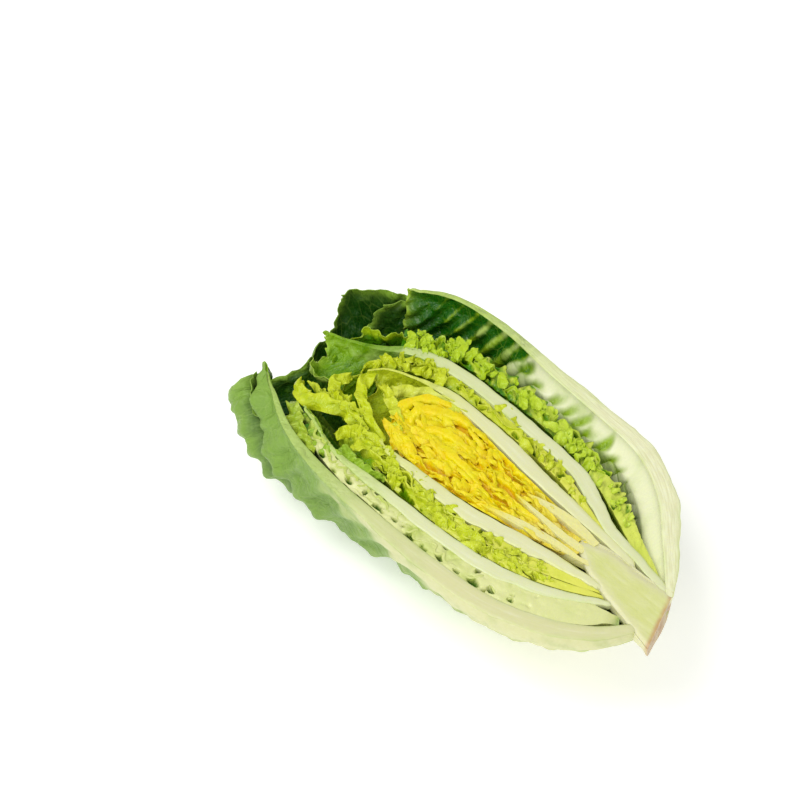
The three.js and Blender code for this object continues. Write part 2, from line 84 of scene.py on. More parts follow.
LEAVES = [
    dict(
        OUTER, name="outer_leaf_near", palette="outer", layer=3, rib=180, wave=14, seed=2.6,
        start=[136, 126, 119, 114, 112, 110, 114, 124], to=[180], flare=(140, 12, 6), folded=True,
        rib_thick=[3, 5.2, 5.4, 4.8, 3.6, 1.9, 0.7], rib_width=[8, 11, 11, 8, 4.5, 3, 3],
        ruffle=[0, 0, 0.1, 0.2, 0.6, 1.6, 2], grid=(270, 52), green=[0.1, 0.1, 0.15, 0.5, 0.85, 1, 1],
        dark_tone_and_shade=[0, 0, 0, 0.2, 0.45, 0.3, 0.1], blister=[0, 0.3, 0.9, 1.4, 1.7, 1.7, 1.3], veins=9, margin=1.9,
    ),
    dict(
        OUTER, name="outer_leaf_under", palette="outer", layer=2, rib=100, wave=16, seed=0.4,
        start=[84, 72, 58, 44, 30, 14, 2], to=[116, 122, 128, 134, 142, 158, 176], rounding=0.02,
        flare=(155, 10, 5), folded=True, rib_thick=[2.4, 5, 5.2, 4.8, 3.4, 1.6, 0.9],
        rib_width=[5, 11, 11, 10, 7, 5, 3], ruffle=[0, 0.2, 0.5, 0.7, 1.1, 2, 2.2], grid=(230, 70),
        green=[0.1, 0.1, 0.3, 0.7, 0.9, 1, 1], dark_tone_and_shade=[0, 0, 0.1, 0.4, 0.8, 1, 1],
        blister=[0, 0.2, 0.8, 1, 1, 0.9, 0.8], veins=11, margin=1.4,
    ),
    dict(
        OUTER, name="outer_leaf_side", palette="outer", layer=1, rib=50, wave=15, seed=1.9,
        start=[38, 32, 26, 20, 15, 12, 12], to=[70, 86, 96, 102, 104, 98, 84], ends=0.93,
        rib_thick=[2.4, 4, 3.2, 2.6, 2, 1.4, 0.9], rib_width=[5, 10, 9, 7, 5, 4, 3],
        ruffle=[0, 0.1, 0.5, 0.8, 1, 1.4, 1.6], grid=(190, 52), green=[0.1, 0.1, 0.4, 0.8, 1, 1, 1],
        dark_tone_and_shade=[0, 0, 0.2, 0.5, 0.8, 1, 1], blister=[0, 0.2, 0.8, 1, 1, 0.9, 0.8], veins=10, margin=1.4,
    ),
    dict(
        OUTER, name="outer_leaf_far", palette="wall", layer=0, rib=0, wave=11, seed=0.9, start=[0],
        to=[44, 60, 74, 82, 86, 84, 66], ends=0.87, pleated=True,
        rib_thick=[2.6, 5.6, 5.4, 4.4, 2.6, 1.2, 0.7], rib_width=[5, 8, 9, 7, 5, 4, 3],
        ruffle=[0, 0, 0.3, 0.6, 0.8, 1.4, 1.6], grid=(280, 60), green=[0.05, 0.1, 0.2, 0.5, 0.85, 1, 1],
        dark_tone_and_shade=[0, 0.5, 0.9, 1, 1.1, 1.2, 1.4], blister=[0, 0.3, 1.8, 2.6, 2.6, 2, 1.2], veins=5, margin=1.6,
    ),
    dict(
        COMMON, name="leaf_near_dotted", palette="dotted", rib=112, wave=10, seed=4.2, foot=0,
        far=[
            (63, 7), (56, 12), (47, 17), (37, 22), (26, 25), (14, 27), (2, 28), (-10, 28), (-22, 27),
            (-32, 23), (-41, 16), (-49, 6),
        ],
        near=[
            (63, -9.3), (56, -14.6), (47, -19.6), (37, -23), (26, -24.9), (14, -25.6), (2, -25.7),
            (-10, -25.4), (-22, -25.2), (-32, -23.4), (-41, -20.4), (-50, -15.5),
        ],
        start=[100, 98, 98, 98, 98, 100, 112], to=[164, 178, 180, 180, 180, 180, 180], blade=0.75,
        rib_thick=[2, 2.6, 2.6, 2.4, 1.8, 0.7, 0.7], rib_width=[5, 7, 6, 5, 4, 3, 3],
        ruffle=[0, 0.1, 0.3, 0.3, 0.3, 0.6, 0.8], grid=(380, 22), green=[0, 0.15, 0.4, 0.5, 0.55, 0.9, 1],
        dark_tone_and_shade=[0, 0.1, 0.15, 0.15, 0.3, 0.7, 0.9], blister=[0, 0, 0.2, 0.4, 0.4, 0.4, 0.4], veins=8, margin=1,
        frill=([0.2, 0.5, 1, 1.1, 1, 0.7, 0.6], 4.6, 12), edge=0.3, lean=[0, 0, 0.3, 0.4, 0.5, 1.5, 3],
        bed=dict(
            inner=[-3.6, -4.3, -3.2, -2, -1.9, -1.9, -1.9], outer=[3.4, 3.9, 3.5, 3.1, 3.1, 2.8, 2.8],
            level=[0.15], relief=[0.1, 0.25, 0.5, 0.6, 0.7], holes=0.45, slots=5.5, end=0.9, folds=(3.4, 2.4),
            sharp=0,
        ),
    ),
    dict(
        COMMON, name="leaf_far_ruffled", palette="green", rib=62, wave=10, seed=3.1, foot=0,
        far=[
            (66, 9.5), (55, 14.5), (44, 20.4), (33, 25), (20, 28.6), (4, 30.6), (-12, 31.2), (-27, 31),
            (-36, 26), (-42, 24.5), (-50, 18.5), (-58, 10),
        ],
        near=[
            (64, -5), (54, -9), (43, -14), (32, -18), (20, -21), (4, -23), (-12, -24), (-27, -23), (-36, -20),
            (-43, -16), (-51, -9), (-57, -1),
        ],
        start=[30, 8, 0, 0, 0, 0, 0], to=[84, 94, 97, 97, 97, 97, 104], blade=0.5,
        rib_thick=[2, 2.8, 2.6, 2.2, 1.8, 0.7, 0.7], rib_width=[5, 7, 6, 5, 4, 3, 3],
        ruffle=[0, 0.2, 0.6, 0.8, 0.9, 1, 1], grid=(420, 24), green=[0.1, 0.3, 0.5, 0.6, 0.8, 1, 1],
        dark_tone_and_shade=[0, 0.1, 0.2, 0.25, 0.6, 1, 1], blister=[0, 0, 0.4, 0.6, 0.6, 0.8, 0.8], veins=8, margin=1.2,
        frill=([0, 0.8, 1.9, 2.1, 1.5, 0.6, 0.5], 5.4, 9), edge=0.7, lean=[0, -0.5, -1, -1.2, -1, 0, 0],
        bed=dict(
            inner=[-1, -3.2, -4.2, -5, -6.3, -6], outer=[1.5, 1.8], level=[0.4, 0.5, 0.6],
            relief=[0.4, 1.3, 1.5], holes=0.3, end=0.85, folds=(1.7, 5), sharp=0.8, slant=-0.7, fringe=3,
        ),
        lobes=dict(count=74, length=4.8, width=2.9, top=0.6, turn=0.8),
    ),
    dict(
        RIBBED, name="leaf_near_ribbed", palette="middle", rib=180, wave=10, seed=5.3,
        far=[
            (60, 6), (54, 8.5), (46, 12), (38, 15), (28, 17.5), (16, 19), (4, 20), (-8, 20.5), (-19, 19.5),
            (-28, 17.5), (-36, 14), (-44, 5),
        ],
        near=[
            (61, -4.8), (55, -8.3), (47, -12.8), (38, -16), (28, -18.2), (16, -19.6), (4, -20.2), (-8, -20.4),
            (-19, -21.4), (-28, -21.4), (-37, -19), (-45, -16.4),
        ],
        start=[140, 110, 98, 98, 98, 104, 126], to=[180], rib_thick=[1.6, 3, 4, 3.8, 3, 1, 0.7],
        rib_width=[5, 7, 7, 6, 4, 3, 3], ruffle=[0, 0, 0, 0.2, 0.6, 1, 1], grid=(300, 24),
        green=[0, 0, 0.05, 0.2, 0.5, 0.9, 1], dark_tone_and_shade=[0, 0, 0, 0.05, 0.3, 0.7, 0.9],
        blister=[0, 0, 0.2, 0.4, 0.5, 0.5, 0.4], veins=8, margin=1.4,
    ),
    dict(
        RIBBED, name="leaf_far_hooded", palette="middle", rib=0, wave=12, seed=0.2,
        far=[
            (68, 8), (57, 9.8), (46, 11.5), (36, 15.5), (24, 19.5), (6, 21), (-14, 21.8), (-32, 19.6),
            (-45, 13), (-55, 9), (-62, 6.5),
        ],
        near=[
            (66, -3), (56, -6), (46, -10), (36, -14), (24, -17.5), (6, -19), (-14, -18.5), (-32, -14),
            (-44, -6), (-53, -5.5), (-60, -1),
        ],
        start=[0, 0, 0, 0, 0, 0, 0, 0, 0, 0, 5, 10, 12], to=[50, 78, 84, 84, 88, 92, 112, 156, 178],
        rounding=0.05, rib_thick=[2, 3, 4.2, 4.4, 3.9, 1.4, 0.7], rib_width=[5, 7, 7, 6, 4, 3, 3],
        ruffle=[0, 0, 0, 0.2, 0.5, 0.7, 0.5], grid=(270, 46), green=[0, 0, 0.05, 0.15, 0.4, 0.8, 1],
        dark_tone_and_shade=[0, 0, 0, 0.1, 0.4, 0.5, 0.35], blister=[0, 0, 0.3, 0.5, 0.6, 0.6, 0.5], veins=8, margin=1,
    ),
    dict(
        YELLOW, name="leaf_near_crinkled", rib=122, wave=9, seed=2.2,
        far=[
            (58, 5), (50, 7), (41, 10), (31, 13), (20, 15), (8, 16.5), (-4, 17), (-15, 16), (-26, 12),
            (-33, 6),
        ],
        near=[
            (58, -5), (50, -9.4), (41, -12.8), (31, -15.2), (20, -16.5), (8, -17), (-4, -17), (-15, -17),
            (-25, -17.6), (-33, -16.4),
        ],
        start=[108, 104, 100, 100, 100, 108, 126], to=[165, 180, 180, 180, 180, 180, 180],
        ruffle=[0, 0.1, 0.3, 0.4, 0.4, 0.6, 0.8], grid=(360, 20), dark_tone_and_shade=[0, 0.1, 0.1, 0.2, 0.3, 0.6, 0.8],
        frill=([0.2, 0.6, 0.9, 1.1, 0.9, 0.6, 0.6], 4.6, 8), lean=[0, 0.5, 0.8, 0.8, 1, 2.6, 4],
        bed=dict(
            inner=[-0.8, -1.6], outer=[0.8, 2.4, 3, 3, 2.4], level=[0.15, 0.3, 0.6, 0.7],
            relief=[0.2, 0.5, 1, 1.2], holes=0.3, end=0.86, folds=(3.6, 1.9), sharp=0.6, slant=0.5,
        ),
        lobes=dict(count=30, length=5.5, width=3.6, top=0.2, turn=0),
    ),
    dict(
        YELLOW, name="leaf_near_curled", rib=104, wave=10, seed=6.4,
        far=[
            (56, 4.5), (48, 6), (40, 8.5), (30, 11), (20, 13), (8, 14), (-4, 14.5), (-15, 13.5), (-26, 10),
            (-35, 5), (-44, -2), (-52, -6),
        ],
        near=[
            (56, -4.3), (48, -7.6), (40, -10.6), (30, -13), (20, -14), (8, -14), (-4, -13.8), (-15, -13.8),
            (-26, -12.4), (-36, -10.4), (-44, -12.2), (-53, -12),
        ],
        start=[108, 102, 98, 98, 98, 106, 130], to=[160, 180, 180, 180, 180, 180, 180],
        ruffle=[0, 0.1, 0.2, 0.4, 0.5, 0.8, 1], grid=(380, 22), dark_tone_and_shade=[0, 0.1, 0.1, 0.2, 0.3, 0.5, 0.9],
        frill=([0.2, 0.5, 0.7, 0.9, 0.9, 0.6, 0.6], 5.2, 8), lean=[0, 0.2, 0.4, 0.5, 0.8, 2.8, 4],
        bed=dict(
            inner=[-1.8, -2.8, -2.7, -1.6, -1.8], outer=[1, 1.5], level=[0.15, 0.3, 0.6, 0.7],
            relief=[0.2, 0.5, 1, 1.2], holes=0.3, end=0.9, folds=(3.6, 1.9), sharp=0.6, slant=0.5,
        ),
        lobes=dict(count=30, length=5.5, width=3.4, top=0.2, turn=0),
    ),
    dict(
        YELLOW, name="leaf_far_crinkled", rib=70, wave=10, seed=1.2,
        far=[
            (50, 10), (40, 12.2), (30, 15.2), (20, 17.1), (8, 18.5), (-6, 19.5), (-20, 19.6), (-31, 17),
            (-38, 12.6), (-42.5, 8), (-43.5, 2),
        ],
        near=[
            (44, -5), (37, -8), (29, -11), (20, -13), (8, -14.5), (-6, -15), (-20, -14), (-30, -13),
            (-37, -10.4), (-42, -7.5), (-44, -3),
        ],
        start=[20, 4, 0, 0, 0, 0, 0], to=[84, 86, 86, 88, 92, 130, 176],
        ruffle=[0, 0.1, 0.3, 0.4, 0.5, 0.9, 1], grid=(340, 24), dark_tone_and_shade=[0, 0.1, 0.1, 0.2, 0.3, 0.4, 0.5],
        frill=([0.1, 0.5, 1, 1.2, 1, 0.8, 0.8], 5, 8), lean=[0, -0.3, -0.6, -0.6, -0.8, -0.8, -0.5],
        bed=dict(
            inner=[-0.5, -1.2, -2, -2.6, -2.6], outer=[0.6, 1.8, 3.2, 2.7, 2.5], level=[0.15, 0.3, 0.6, 0.7],
            relief=[0.2, 0.6, 1.1, 1.3], holes=0.3, end=0.86, folds=(2, 3.6), sharp=0.7, slant=-0.5,
        ),
        lobes=dict(count=34, length=5, width=3.2, top=0.3, turn=0.4),
    ),
    dict(
        RIBBED, name="leaf_far_folded", palette="inner", rib=0, wave=10, seed=3.7,
        far=[
            (57, 8), (48, 8.4), (38, 9), (26, 9.8), (12, 11.2), (-2, 12.8), (-14, 13.8), (-24, 13.6),
            (-32, 11.5), (-38, 8.5), (-41, 4.5),
        ],
        near=[
            (55, -2.5), (47, -3), (38, -4), (26, -6), (12, -7), (-2, -8), (-14, -9.2), (-24, -9), (-31, -6),
            (-37, -2), (-41, 2),
        ],
        start=[0], to=[50, 70, 80, 80, 84, 96, 150, 178, 178], rib_thick=[2, 3, 4, 4.5, 4.4, 3, 1, 0.7, 0.7],
        rib_width=[4, 6, 6, 5, 4, 3, 3], ruffle=[0, 0, 0, 0.1, 0.3, 0.6, 0.6], grid=(260, 36),
        green=[0, 0, 0.05, 0.1, 0.3, 0.6, 0.9, 1, 1], dark_tone_and_shade=[0, 0, 0, 0, 0.1, 0.2, 0.4, 0.5, 0.5],
        blister=[0, 0, 0.2, 0.4, 0.5, 0.6, 0.6], veins=7, margin=0.8,
    ),
    dict(
        RIBBED, name="leaf_near_pale", palette="inner", rib=180, wave=8, seed=4.9, foot=6.5,
        far=[(56, 5), (48, 5.5), (40, 6.5), (30, 7.5), (19, 8.5), (8, 9.5), (-4, 10), (-13, 9.5), (-21, 6)],
        near=[
            (56, -2.2), (48, -2.8), (40, -3.8), (30, -5.5), (19, -7.7), (8, -9), (-4, -9.7), (-13, -10.2),
            (-21, -10.6),
        ],
        start=[140, 110, 98, 98, 98, 112, 150], to=[180], rib_thick=[2, 3.2, 4.4, 4.6, 4, 2.6, 1],
        rib_width=[4, 6, 6, 5, 4, 3, 3], ruffle=[0, 0, 0, 0, 0.2, 0.3, 0.3], grid=(240, 24),
        green=[0, 0, 0, 0.1, 0.2, 0.4, 0.9], dark_tone_and_shade=[0, 0, 0, 0, 0, 0.1, 0.3],
        blister=[0, 0, 0.1, 0.2, 0.3, 0.4, 0.4], veins=7, margin=0.8,
    ),
]

SHARP_ANGLE = math.radians(58)
RIB_BAND_COLUMNS, THIN_BAND_COLUMNS = 9, 2  # columns between a sheet's two faces at a cut rib, and elsewhere
BED_ROWS, BED_TOP_COLUMNS, BED_UNDER_COLUMNS = 300, 20, 4
BED_DEPTH, HOLE_DEPTH = 5.5, 3.6
LOBE_ROWS, LOBE_COLUMNS, LOBE_THICKNESS = 12, 7, 0.24
STRIP_ROWS, FOLD_ROWS, STRIP_COLUMNS = 110, 70, 9
HEART_ROWS, HEART_TOP_COLUMNS, HEART_UNDER_COLUMNS = 260, 84, 12
HEART_RIB_ROWS, HEART_RIB_DEPTH = 120, 3
RIM_LEVELS, RIM_DEPTH, RIM_THICKNESS, RIM_STEP = 6, 4.2, 0.42, 0.22
PETAL_COUNT = 130
STEM_ROWS, STEM_TOP_COLUMNS, STEM_UNDER_COLUMNS = 90, 40, 60
BUTT_RINGS = 8
HEART_SPREAD = 1.4  # how far the heart's crumpled face spreads past its outline
# The heart's outline in the cut plane, far side and near side, from the stem's end to the tips' end.
HEART_FAR = [
    (46, 6.6), (38, 7), (28, 7.6), (16, 8.8), (4, 10.2), (-8, 11.4), (-17, 10.6), (-22.5, 7.4), (-24.5, 3.6),
]
HEART_NEAR = [
    (45, -0.6), (38, -1.8), (28, -4), (16, -6.2), (4, -7.6), (-8, -8), (-16, -7), (-21.5, -3), (-24.5, 0.8),
]
# Cut ribs that lie in the heart, as routes in the cut plane with widths.
HEART_RIBS = [
    ([(47, 6.4), (38, 7.3), (30, 6.9), (22, 5.6)], [2.4, 3.4, 2.6, 0.4]),
    ([(46, 2.6), (38, 2.2), (30, 2.6), (20, 3.2)], [2.6, 2.4, 1.6, 0.4]),
    ([(52, 1.2), (47, -0.2), (38, -1.1), (28, -3.0), (16, -6)], [1.4, 1.4, 2.2, 2.6, 0.5]),
]
# Large smooth folds round the tips' end of the heart, as routes with widths.
HEART_FOLDS = [
    (
        [(-20.2, -3.4, -1.3), (-22.8, 0.6, 0), (-23.3, 5.4, 0.2), (-19.4, 10.2, 0.1), (-11, 13.4, -1)],
        [2, 3.4, 3.4, 3, 1.6],
    ),
    ([(-18.4, 0.4, -1.2), (-19.2, 4.6, 0.2), (-12.6, 9.4, 0.2), (-4.2, 11.3, -1)], [1.8, 3.4, 3.2, 1.6]),
    ([(-19.6, -3.8, -1.2), (-13.6, -6, 0.1), (-7.2, -8.4, -1)], [1.6, 3, 1.4]),
    ([(-15.2, -0.6, -1.2), (-10.2, 3.2, 0.2), (-3.2, 4.4, 0.1), (4.4, 3.8, -1)], [1.6, 3, 3, 1.2]),
    ([(-10.4, -3, -1.2), (-5.4, -0.6, 0.2), (2.8, -0.8, 0.1), (10.8, -1.4, -1)], [1.4, 2.8, 2.6, 1.2]),
]
# Loose ends of leaves that curl over the tips' end: routes with widths, how green and how dark.
STRIPS = {
    "leaf_far_folded": [
        (
            [(-35.4, 5, -1.4), (-28, 1.8, -0.4), (-21, -2.2, -0.4), (-17.3, -6.4, -1.4)],
            [1.5, 3, 3.2, 1.4], 0.8, 0.1,
        ),
        ([(-9, 14, -0.8), (-20, 12, -0.3), (-29, 6.5, -0.6), (-31, 2, -1.6)], [1.2, 3.4, 3.4, 1.5], 0.6, 0.0),
    ],
    "leaf_far_crinkled": [
        (
            [(-41, 9.5, -2), (-38.6, 1, -0.6), (-34, -4, -0.4), (-27, -7.4, -0.8), (-19, -9.4, -1.6)],
            [1.8, 3.4, 3, 2.6, 1], 0.85, 0.2,
        ),
        (
            [(-43.5, 1, -2), (-45, -3.4, -1.2), (-42.2, -7.4, -0.8), (-38.6, -8, -1), (-37.2, -4.8, -1.6)],
            [2.4, 3, 3, 2.6, 1.6], 1, 0.4,
        ),
    ],
    "leaf_near_curled": [
        (
            [
                (-52, -10.2, -1.4), (-51, -13.2, -0.8), (-46, -14.9, -0.6), (-40.6, -12.4, -0.4),
                (-35, -9.6, -0.6), (-29.3, -10.6, -0.8), (-24, -11.2, -1.6),
            ],
            [1.5, 3, 4.4, 4.4, 4, 3.4, 1.6], 0.95, 0.55,
        ),
        (
            [(-30, -18, -1.4), (-27.6, -13.8, -0.5), (-22, -12.2, -0.5), (-15.5, -12.5, -1.2)],
            [2, 3.8, 3.4, 1.5], 0.9, 0.1,
        ),
    ],
    "leaf_near_ribbed": [
        (
            [
                (-43, -17.6, -2.6), (-36.8, -19.8, -1.4), (-32.8, -22.4, -1), (-28.2, -23.8, -0.8),
                (-24.4, -23, -0.8), (-21, -20.4, -1.4),
            ],
            [2, 3.4, 3.4, 3.2, 3, 1.6], 1, 0.5,
        ),
        (
            [(-26, -19.2, -1.4), (-20, -21, -0.6), (-14.6, -20.7, -0.5), (-9.6, -18.6, -1.2)],
            [2, 3.4, 3, 1.4], 0.9, 0.2,
        ),
    ],
    "leaf_near_dotted": [
        (
            [(-50, -17, -3.4), (-45, -20.4, -2.2), (-41, -22.6, -1.4), (-36, -24.8, -0.8), (-30, -26.2, -1)],
            [2.4, 4, 3.6, 3, 1.6], 1, 0.7,
        ),
    ],
}

STEM_FAR = [(71.5, 9.6), (64, 8.3), (56, 8.2), (49, 7.7), (45, 6.3), (43, 4.6)]
STEM_NEAR = [(78.3, -8.8), (68, -6.3), (58, -4.1), (51, -1.8), (46, 1), (43, 3.6)]

# Colours as seen, in sRGB: pale for ribs, then blade, then the dark tone, which also serves as painted shade
# in hollows and depths; back is the outside of the blade.
PALETTES = {
    "outer": dict(pale="D2D29E", blade="78A410", dark_tone_and_shade="0E4A04", back="84A254", cut="D6D4A6", rim="A2C256"),
    # The wall's pale is brighter than the other leaves' pale to stand in for light shining through the leaf:
    # its whitish colour with painted light.
    "wall": dict(pale="EEF0CC", blade="AACC20", dark_tone_and_shade="165E06", back="8CA850", cut="D8D6AA", rim="AECC4C"),
    "middle": dict(pale="D8DBAC", blade="8AB408", dark_tone_and_shade="2C7206", back="A8C260", cut="DBDFBA", rim="B0CC50"),
    "green": dict(pale="D4DE60", blade="B4CE06", dark_tone_and_shade="3E8402", back="A2C434", cut="BAD630", rim="B4D430"),
    "dotted": dict(pale="D8DC9C", blade="A8C026", dark_tone_and_shade="468608", back="B4C864", cut="CED488", rim="BACE50"),
    "yellow": dict(pale="DCDE60", blade="C2D004", dark_tone_and_shade="70A004", back="BECC30", cut="CCD634", rim="C8D634"),
    "inner": dict(pale="DBDBAC", blade="C8D222", dark_tone_and_shade="94B410", back="CED658", cut="DDDFB8", rim="D0DA3C"),
}
# The heart's dark orange is painted shade in its creases, darker the deeper a place lies.
HEART_COLOURS = dict(
    # light: painted highlights, laid in spots by noise
    leaf="EACE00", patches="E6DA06", light="F4E434", dark_tone_and_shade="D49400", pale="DEDBA0", cut="FAF05A",
)
STEM_COLOURS = dict(pith="D2D68C", fibres="D9DC9E", patches="C8D078", rim="D8D6AA", brown="BC9468")
FLOOR_COLOURS = dict(light="F7F7F6", dark="F1F1F0")
PALE_STREAK, DULL_PATCH = (0.88, 0.9, 0.74, 1), (0.9, 0.9, 0.55, 1)
# Mean roughness of each kind of leaf.
GLOSS = dict(wall=0.27, dotted=0.3, outer=0.38, middle=0.31, green=0.29, yellow=0.28, inner=0.29)

AZIMUTH, ELEVATION = math.radians(46), math.radians(50)
CAMERA_FROM_CUT = (0.22344, -0.23740, 0.41366)  # from the point of head coordinates 0, 0, 0
LENS, SENSOR_WIDTH = 85, 36
LIT_POINT = (0, 0, 0.03)
LIGHT_SIZE, WORLD_STRENGTH, FLOOR_GLOW, FLOOR_SIZE = 0.35, 0.56, 0.3, 6
WHITE = (1, 1, 1, 1)


# ---- Number helpers ----
def smooth(lo, hi, value):
    s = np.clip((value - lo) / (hi - lo), 0, 1)
    return s * s * (3 - 2 * s)


def along(values, t):
    """A value listed at evenly spaced places from a leaf's base to its tip."""
    return np.interp(t, np.linspace(0, 1, len(values)), values) if len(values) > 1 else values[0] + 0 * t


def spline(points, t):
    """The uniform Catmull-Rom curve through the points at each t from 0 to 1, going straight on below 0."""
    points = np.array(points, float)
    last = len(points) - 1
    t = np.asarray(t, float)
    if t.min() < 0:
        run_on = np.minimum(t, 0)[..., None] * last * (points[1] - points[0])
        return spline(points, np.maximum(t, 0)) + run_on
    place = np.clip(t, 0, 1) * last
    i = np.minimum(place.astype(int), last - 1)
    w = (place - i)[..., None]
    before, here, after, beyond = (points[np.clip(i + k, 0, last)] for k in (-1, 0, 1, 2))
    v0, v1 = (after - before) / 2, (beyond - here) / 2
    cubic, square = 2 * here - 2 * after + v0 + v1, 3 * after - 3 * here - 2 * v0 - v1
    return cubic * w**3 + square * w**2 + v0 * w + here


def unit(vectors):
    return vectors / np.maximum(np.linalg.norm(vectors, axis=-1, keepdims=True), 1e-9)


def held_under(z, top):
    """Heights eased so that they stay under a top without meeting it."""
    over = np.maximum(0, z - (top - EASE))
    return np.minimum(z, top - EASE) + EASE * (1 - np.exp(-over / EASE))


LATTICE_SIZE = 32
LATTICE = np.random.default_rng(11).random((LATTICE_SIZE,) * 3) * 2 - 1


def noise(x, y, z=0.0):
    """Smooth seeded noise from -1 to 1 that changes over a distance of about 1."""
    x, y, z = np.broadcast_arrays(np.asarray(x, float), np.asarray(y, float), np.asarray(z, float))
    cell = [np.floor(v).astype(int) for v in (x, y, z)]
    part = [v - c for v, c in zip((x, y, z), cell)]
    part = [f * f * (3 - 2 * f) for f in part]
    total = np.zeros(x.shape)
    for corner in range(8):
        bits = [(corner >> k) & 1 for k in range(3)]
        weight = np.ones(x.shape)
        for bit, f in zip(bits, part):
            weight = weight * (f if bit else 1 - f)
        total += weight * LATTICE[tuple((c + bit) % LATTICE_SIZE for c, bit in zip(cell, bits))]
    return total


def layered_noise(x, y, z=0.0):
    """Three layers of noise, each half as large and twice as fine as the one before."""
    return sum(noise(x * 2**k + 7.3 * k, y * 2**k + 3.1 * k, z) / 2**k for k in range(3))


def off_lines(x, y, z):
    """0 along thin wandering lines, up to 1 between them."""
    return np.minimum(1, 2.3 * np.abs(noise(x, y, z)))


# ---- Leaf surfaces, as in the CAD model ----
def bowl(far, near, t, phi):
    """The point at t and phi on the smooth bowl through a far and a near outline."""
    f, n = spline(far, t), spline(near, t)
    c, s = np.cos(np.radians(phi)), np.sin(np.radians(phi))
    across = np.sign(c) * np.abs(c) ** (2 / ROUNDNESS)
    down = np.abs(s) ** (2 / ROUNDNESS)
    half = (f[..., 1] - n[..., 1]) / 2
    x = (f[..., 0] + n[..., 0]) / 2 + (f[..., 0] - n[..., 0]) / 2 * c
    return np.stack([x, (f[..., 1] + n[..., 1]) / 2 + half * across, -DEPTH_RATIO * half * down], axis=-1)


def is_near(leaf):
    """True for a leaf whose cut edge is at the near side, at phi 180."""
    return leaf["to"][-1] >= 179 and leaf["start"][0] > 1


def is_cut(phi):
    return (phi < 0.01) | (phi > 179.99)


def leaf_length(leaf):
    """Mean length of the leaf's far and near outlines."""
    places = np.linspace(0, 1, 201)
    steps = [np.diff(spline(leaf[side], places), axis=0) for side in ("far", "near")]
    return sum(np.linalg.norm(step, axis=1).sum() for step in steps) / 2


def base_surface(leaf, t, phi):
    p = bowl(leaf["far"], leaf["near"], t, phi)
    if "flare" in leaf:
        at, out, forward = leaf["flare"]
        tilt = smooth(0.5, 1, t) * np.exp(-(((phi - at) / 30) ** 2))
        p[..., 0] -= forward * tilt
        p[..., 1] -= out * tilt
    return p


def base_frame(leaf, t, phi):
    """The base surface's point, outward normal and direction towards the tip."""
    dt, dp = 0.004, 0.6
    up_leaf = base_surface(leaf, np.minimum(1, t + dt), phi) - base_surface(leaf, t - dt, phi)
    after, before = np.minimum(180, phi + dp), np.maximum(0, phi - dp)
    round_leaf = base_surface(leaf, t, after) - base_surface(leaf, t, before)
    return base_surface(leaf, t, phi), unit(np.cross(round_leaf, up_leaf)), unit(up_leaf)


def half_width(leaf, t):
    return (spline(leaf["far"], t)[..., 1] - spline(leaf["near"], t)[..., 1]) / 2


def from_rib(leaf, t, phi):
    return half_width(leaf, t) * np.radians(phi - leaf["rib"])


def thickness(leaf, t, phi):
    side = from_rib(leaf, t, phi) / along(leaf["rib_width"], t)
    uneven = 1 + 0.1 * layered_noise(t * 19, 0.5, leaf["seed"] + 2)
    rib = np.maximum(0, along(leaf["rib_thick"], t) * uneven - leaf["blade"]) * np.exp(-side * side)
    foot = 1 - 0.7 * smooth(0, FOOT_END, t)
    return foot * (leaf["blade"] + rib)


def bulges(leaf, a, b):
    """0 on a leaf's side veins, which leave its rib at a slant, up to 1 on the bulges between them."""
    q = (a - 0.75 * np.abs(b) + 0.5 * leaf["veins"] * (b > 0)) / leaf["veins"]
    q = q + 0.3 * noise(a / 13, b / 13, leaf["seed"])
    from_vein = (0.5 - np.abs(q - np.floor(q) - 0.5)) * leaf["veins"]
    between = 1 - np.exp(-((from_vein / 1.9) ** 2))
    return between * (0.7 + 0.5 * np.abs(noise(a / 3.4, b / 3.4, leaf["seed"] + 5)))


def fold(leaf, t, phi):
    """Depth of the deep fold near the tip of the near outer leaf, which the leaf under it follows."""
    if not leaf["folded"]:
        return 0
    at = 171 - 100 * (1 - t)
    return 6.5 * np.exp(-(((phi - at) / 5) ** 2)) * smooth(0.66, 0.84, t)


def height(leaf, t, phi):
    """Height over the base surface: the long waves, the bulges, and for outer leaves what they lie on."""
    a, b = t * leaf_length(leaf), from_rib(leaf, t, phi)
    d = np.abs(b)
    width = along(leaf["rib_width"], t)
    size = along(leaf["ruffle"], t) * smooth(width * 0.5, width * 1.8, d)
    turn = 2 * math.pi * a / leaf["wave"] + 0.09 * d + leaf["seed"]
    wave = 0.7 * np.sin(turn) + 0.3 * np.sin(0.57 * turn + 0.15 * b + 2 * leaf["seed"])
    blister = along(leaf["blister"], t) * smooth(width * 0.35, width * 1.3, d)
    bulge = bulges(leaf, a, b)
    if "layer" not in leaf:
        return size * wave - blister * bulge
    if leaf["layer"] == 0:
        return size * (wave - 0.8) - blister * bulge
    lifts = [
        spread(other, t, phi) * (height(other, t, phi) + thickness(other, t, phi) + LAYER_GAP)
        for other in LEAVES
        if other.get("layer", len(LEAVES)) < leaf["layer"]
    ]
    return np.maximum(0, np.max(lifts, axis=0)) + size * (wave + 1) * 0.7 + blister * (1 - bulge)


def spread(leaf, t, phi):
    """1 where an outer leaf lies, falling to 0 round it."""
    place = t / leaf["ends"]
    outside = np.maximum(0, np.maximum(along(leaf["start"], place) - phi, phi - along(leaf["to"], place)))
    return (1 - smooth(0, 18, outside)) * (1 - smooth(1, 1.08, place))


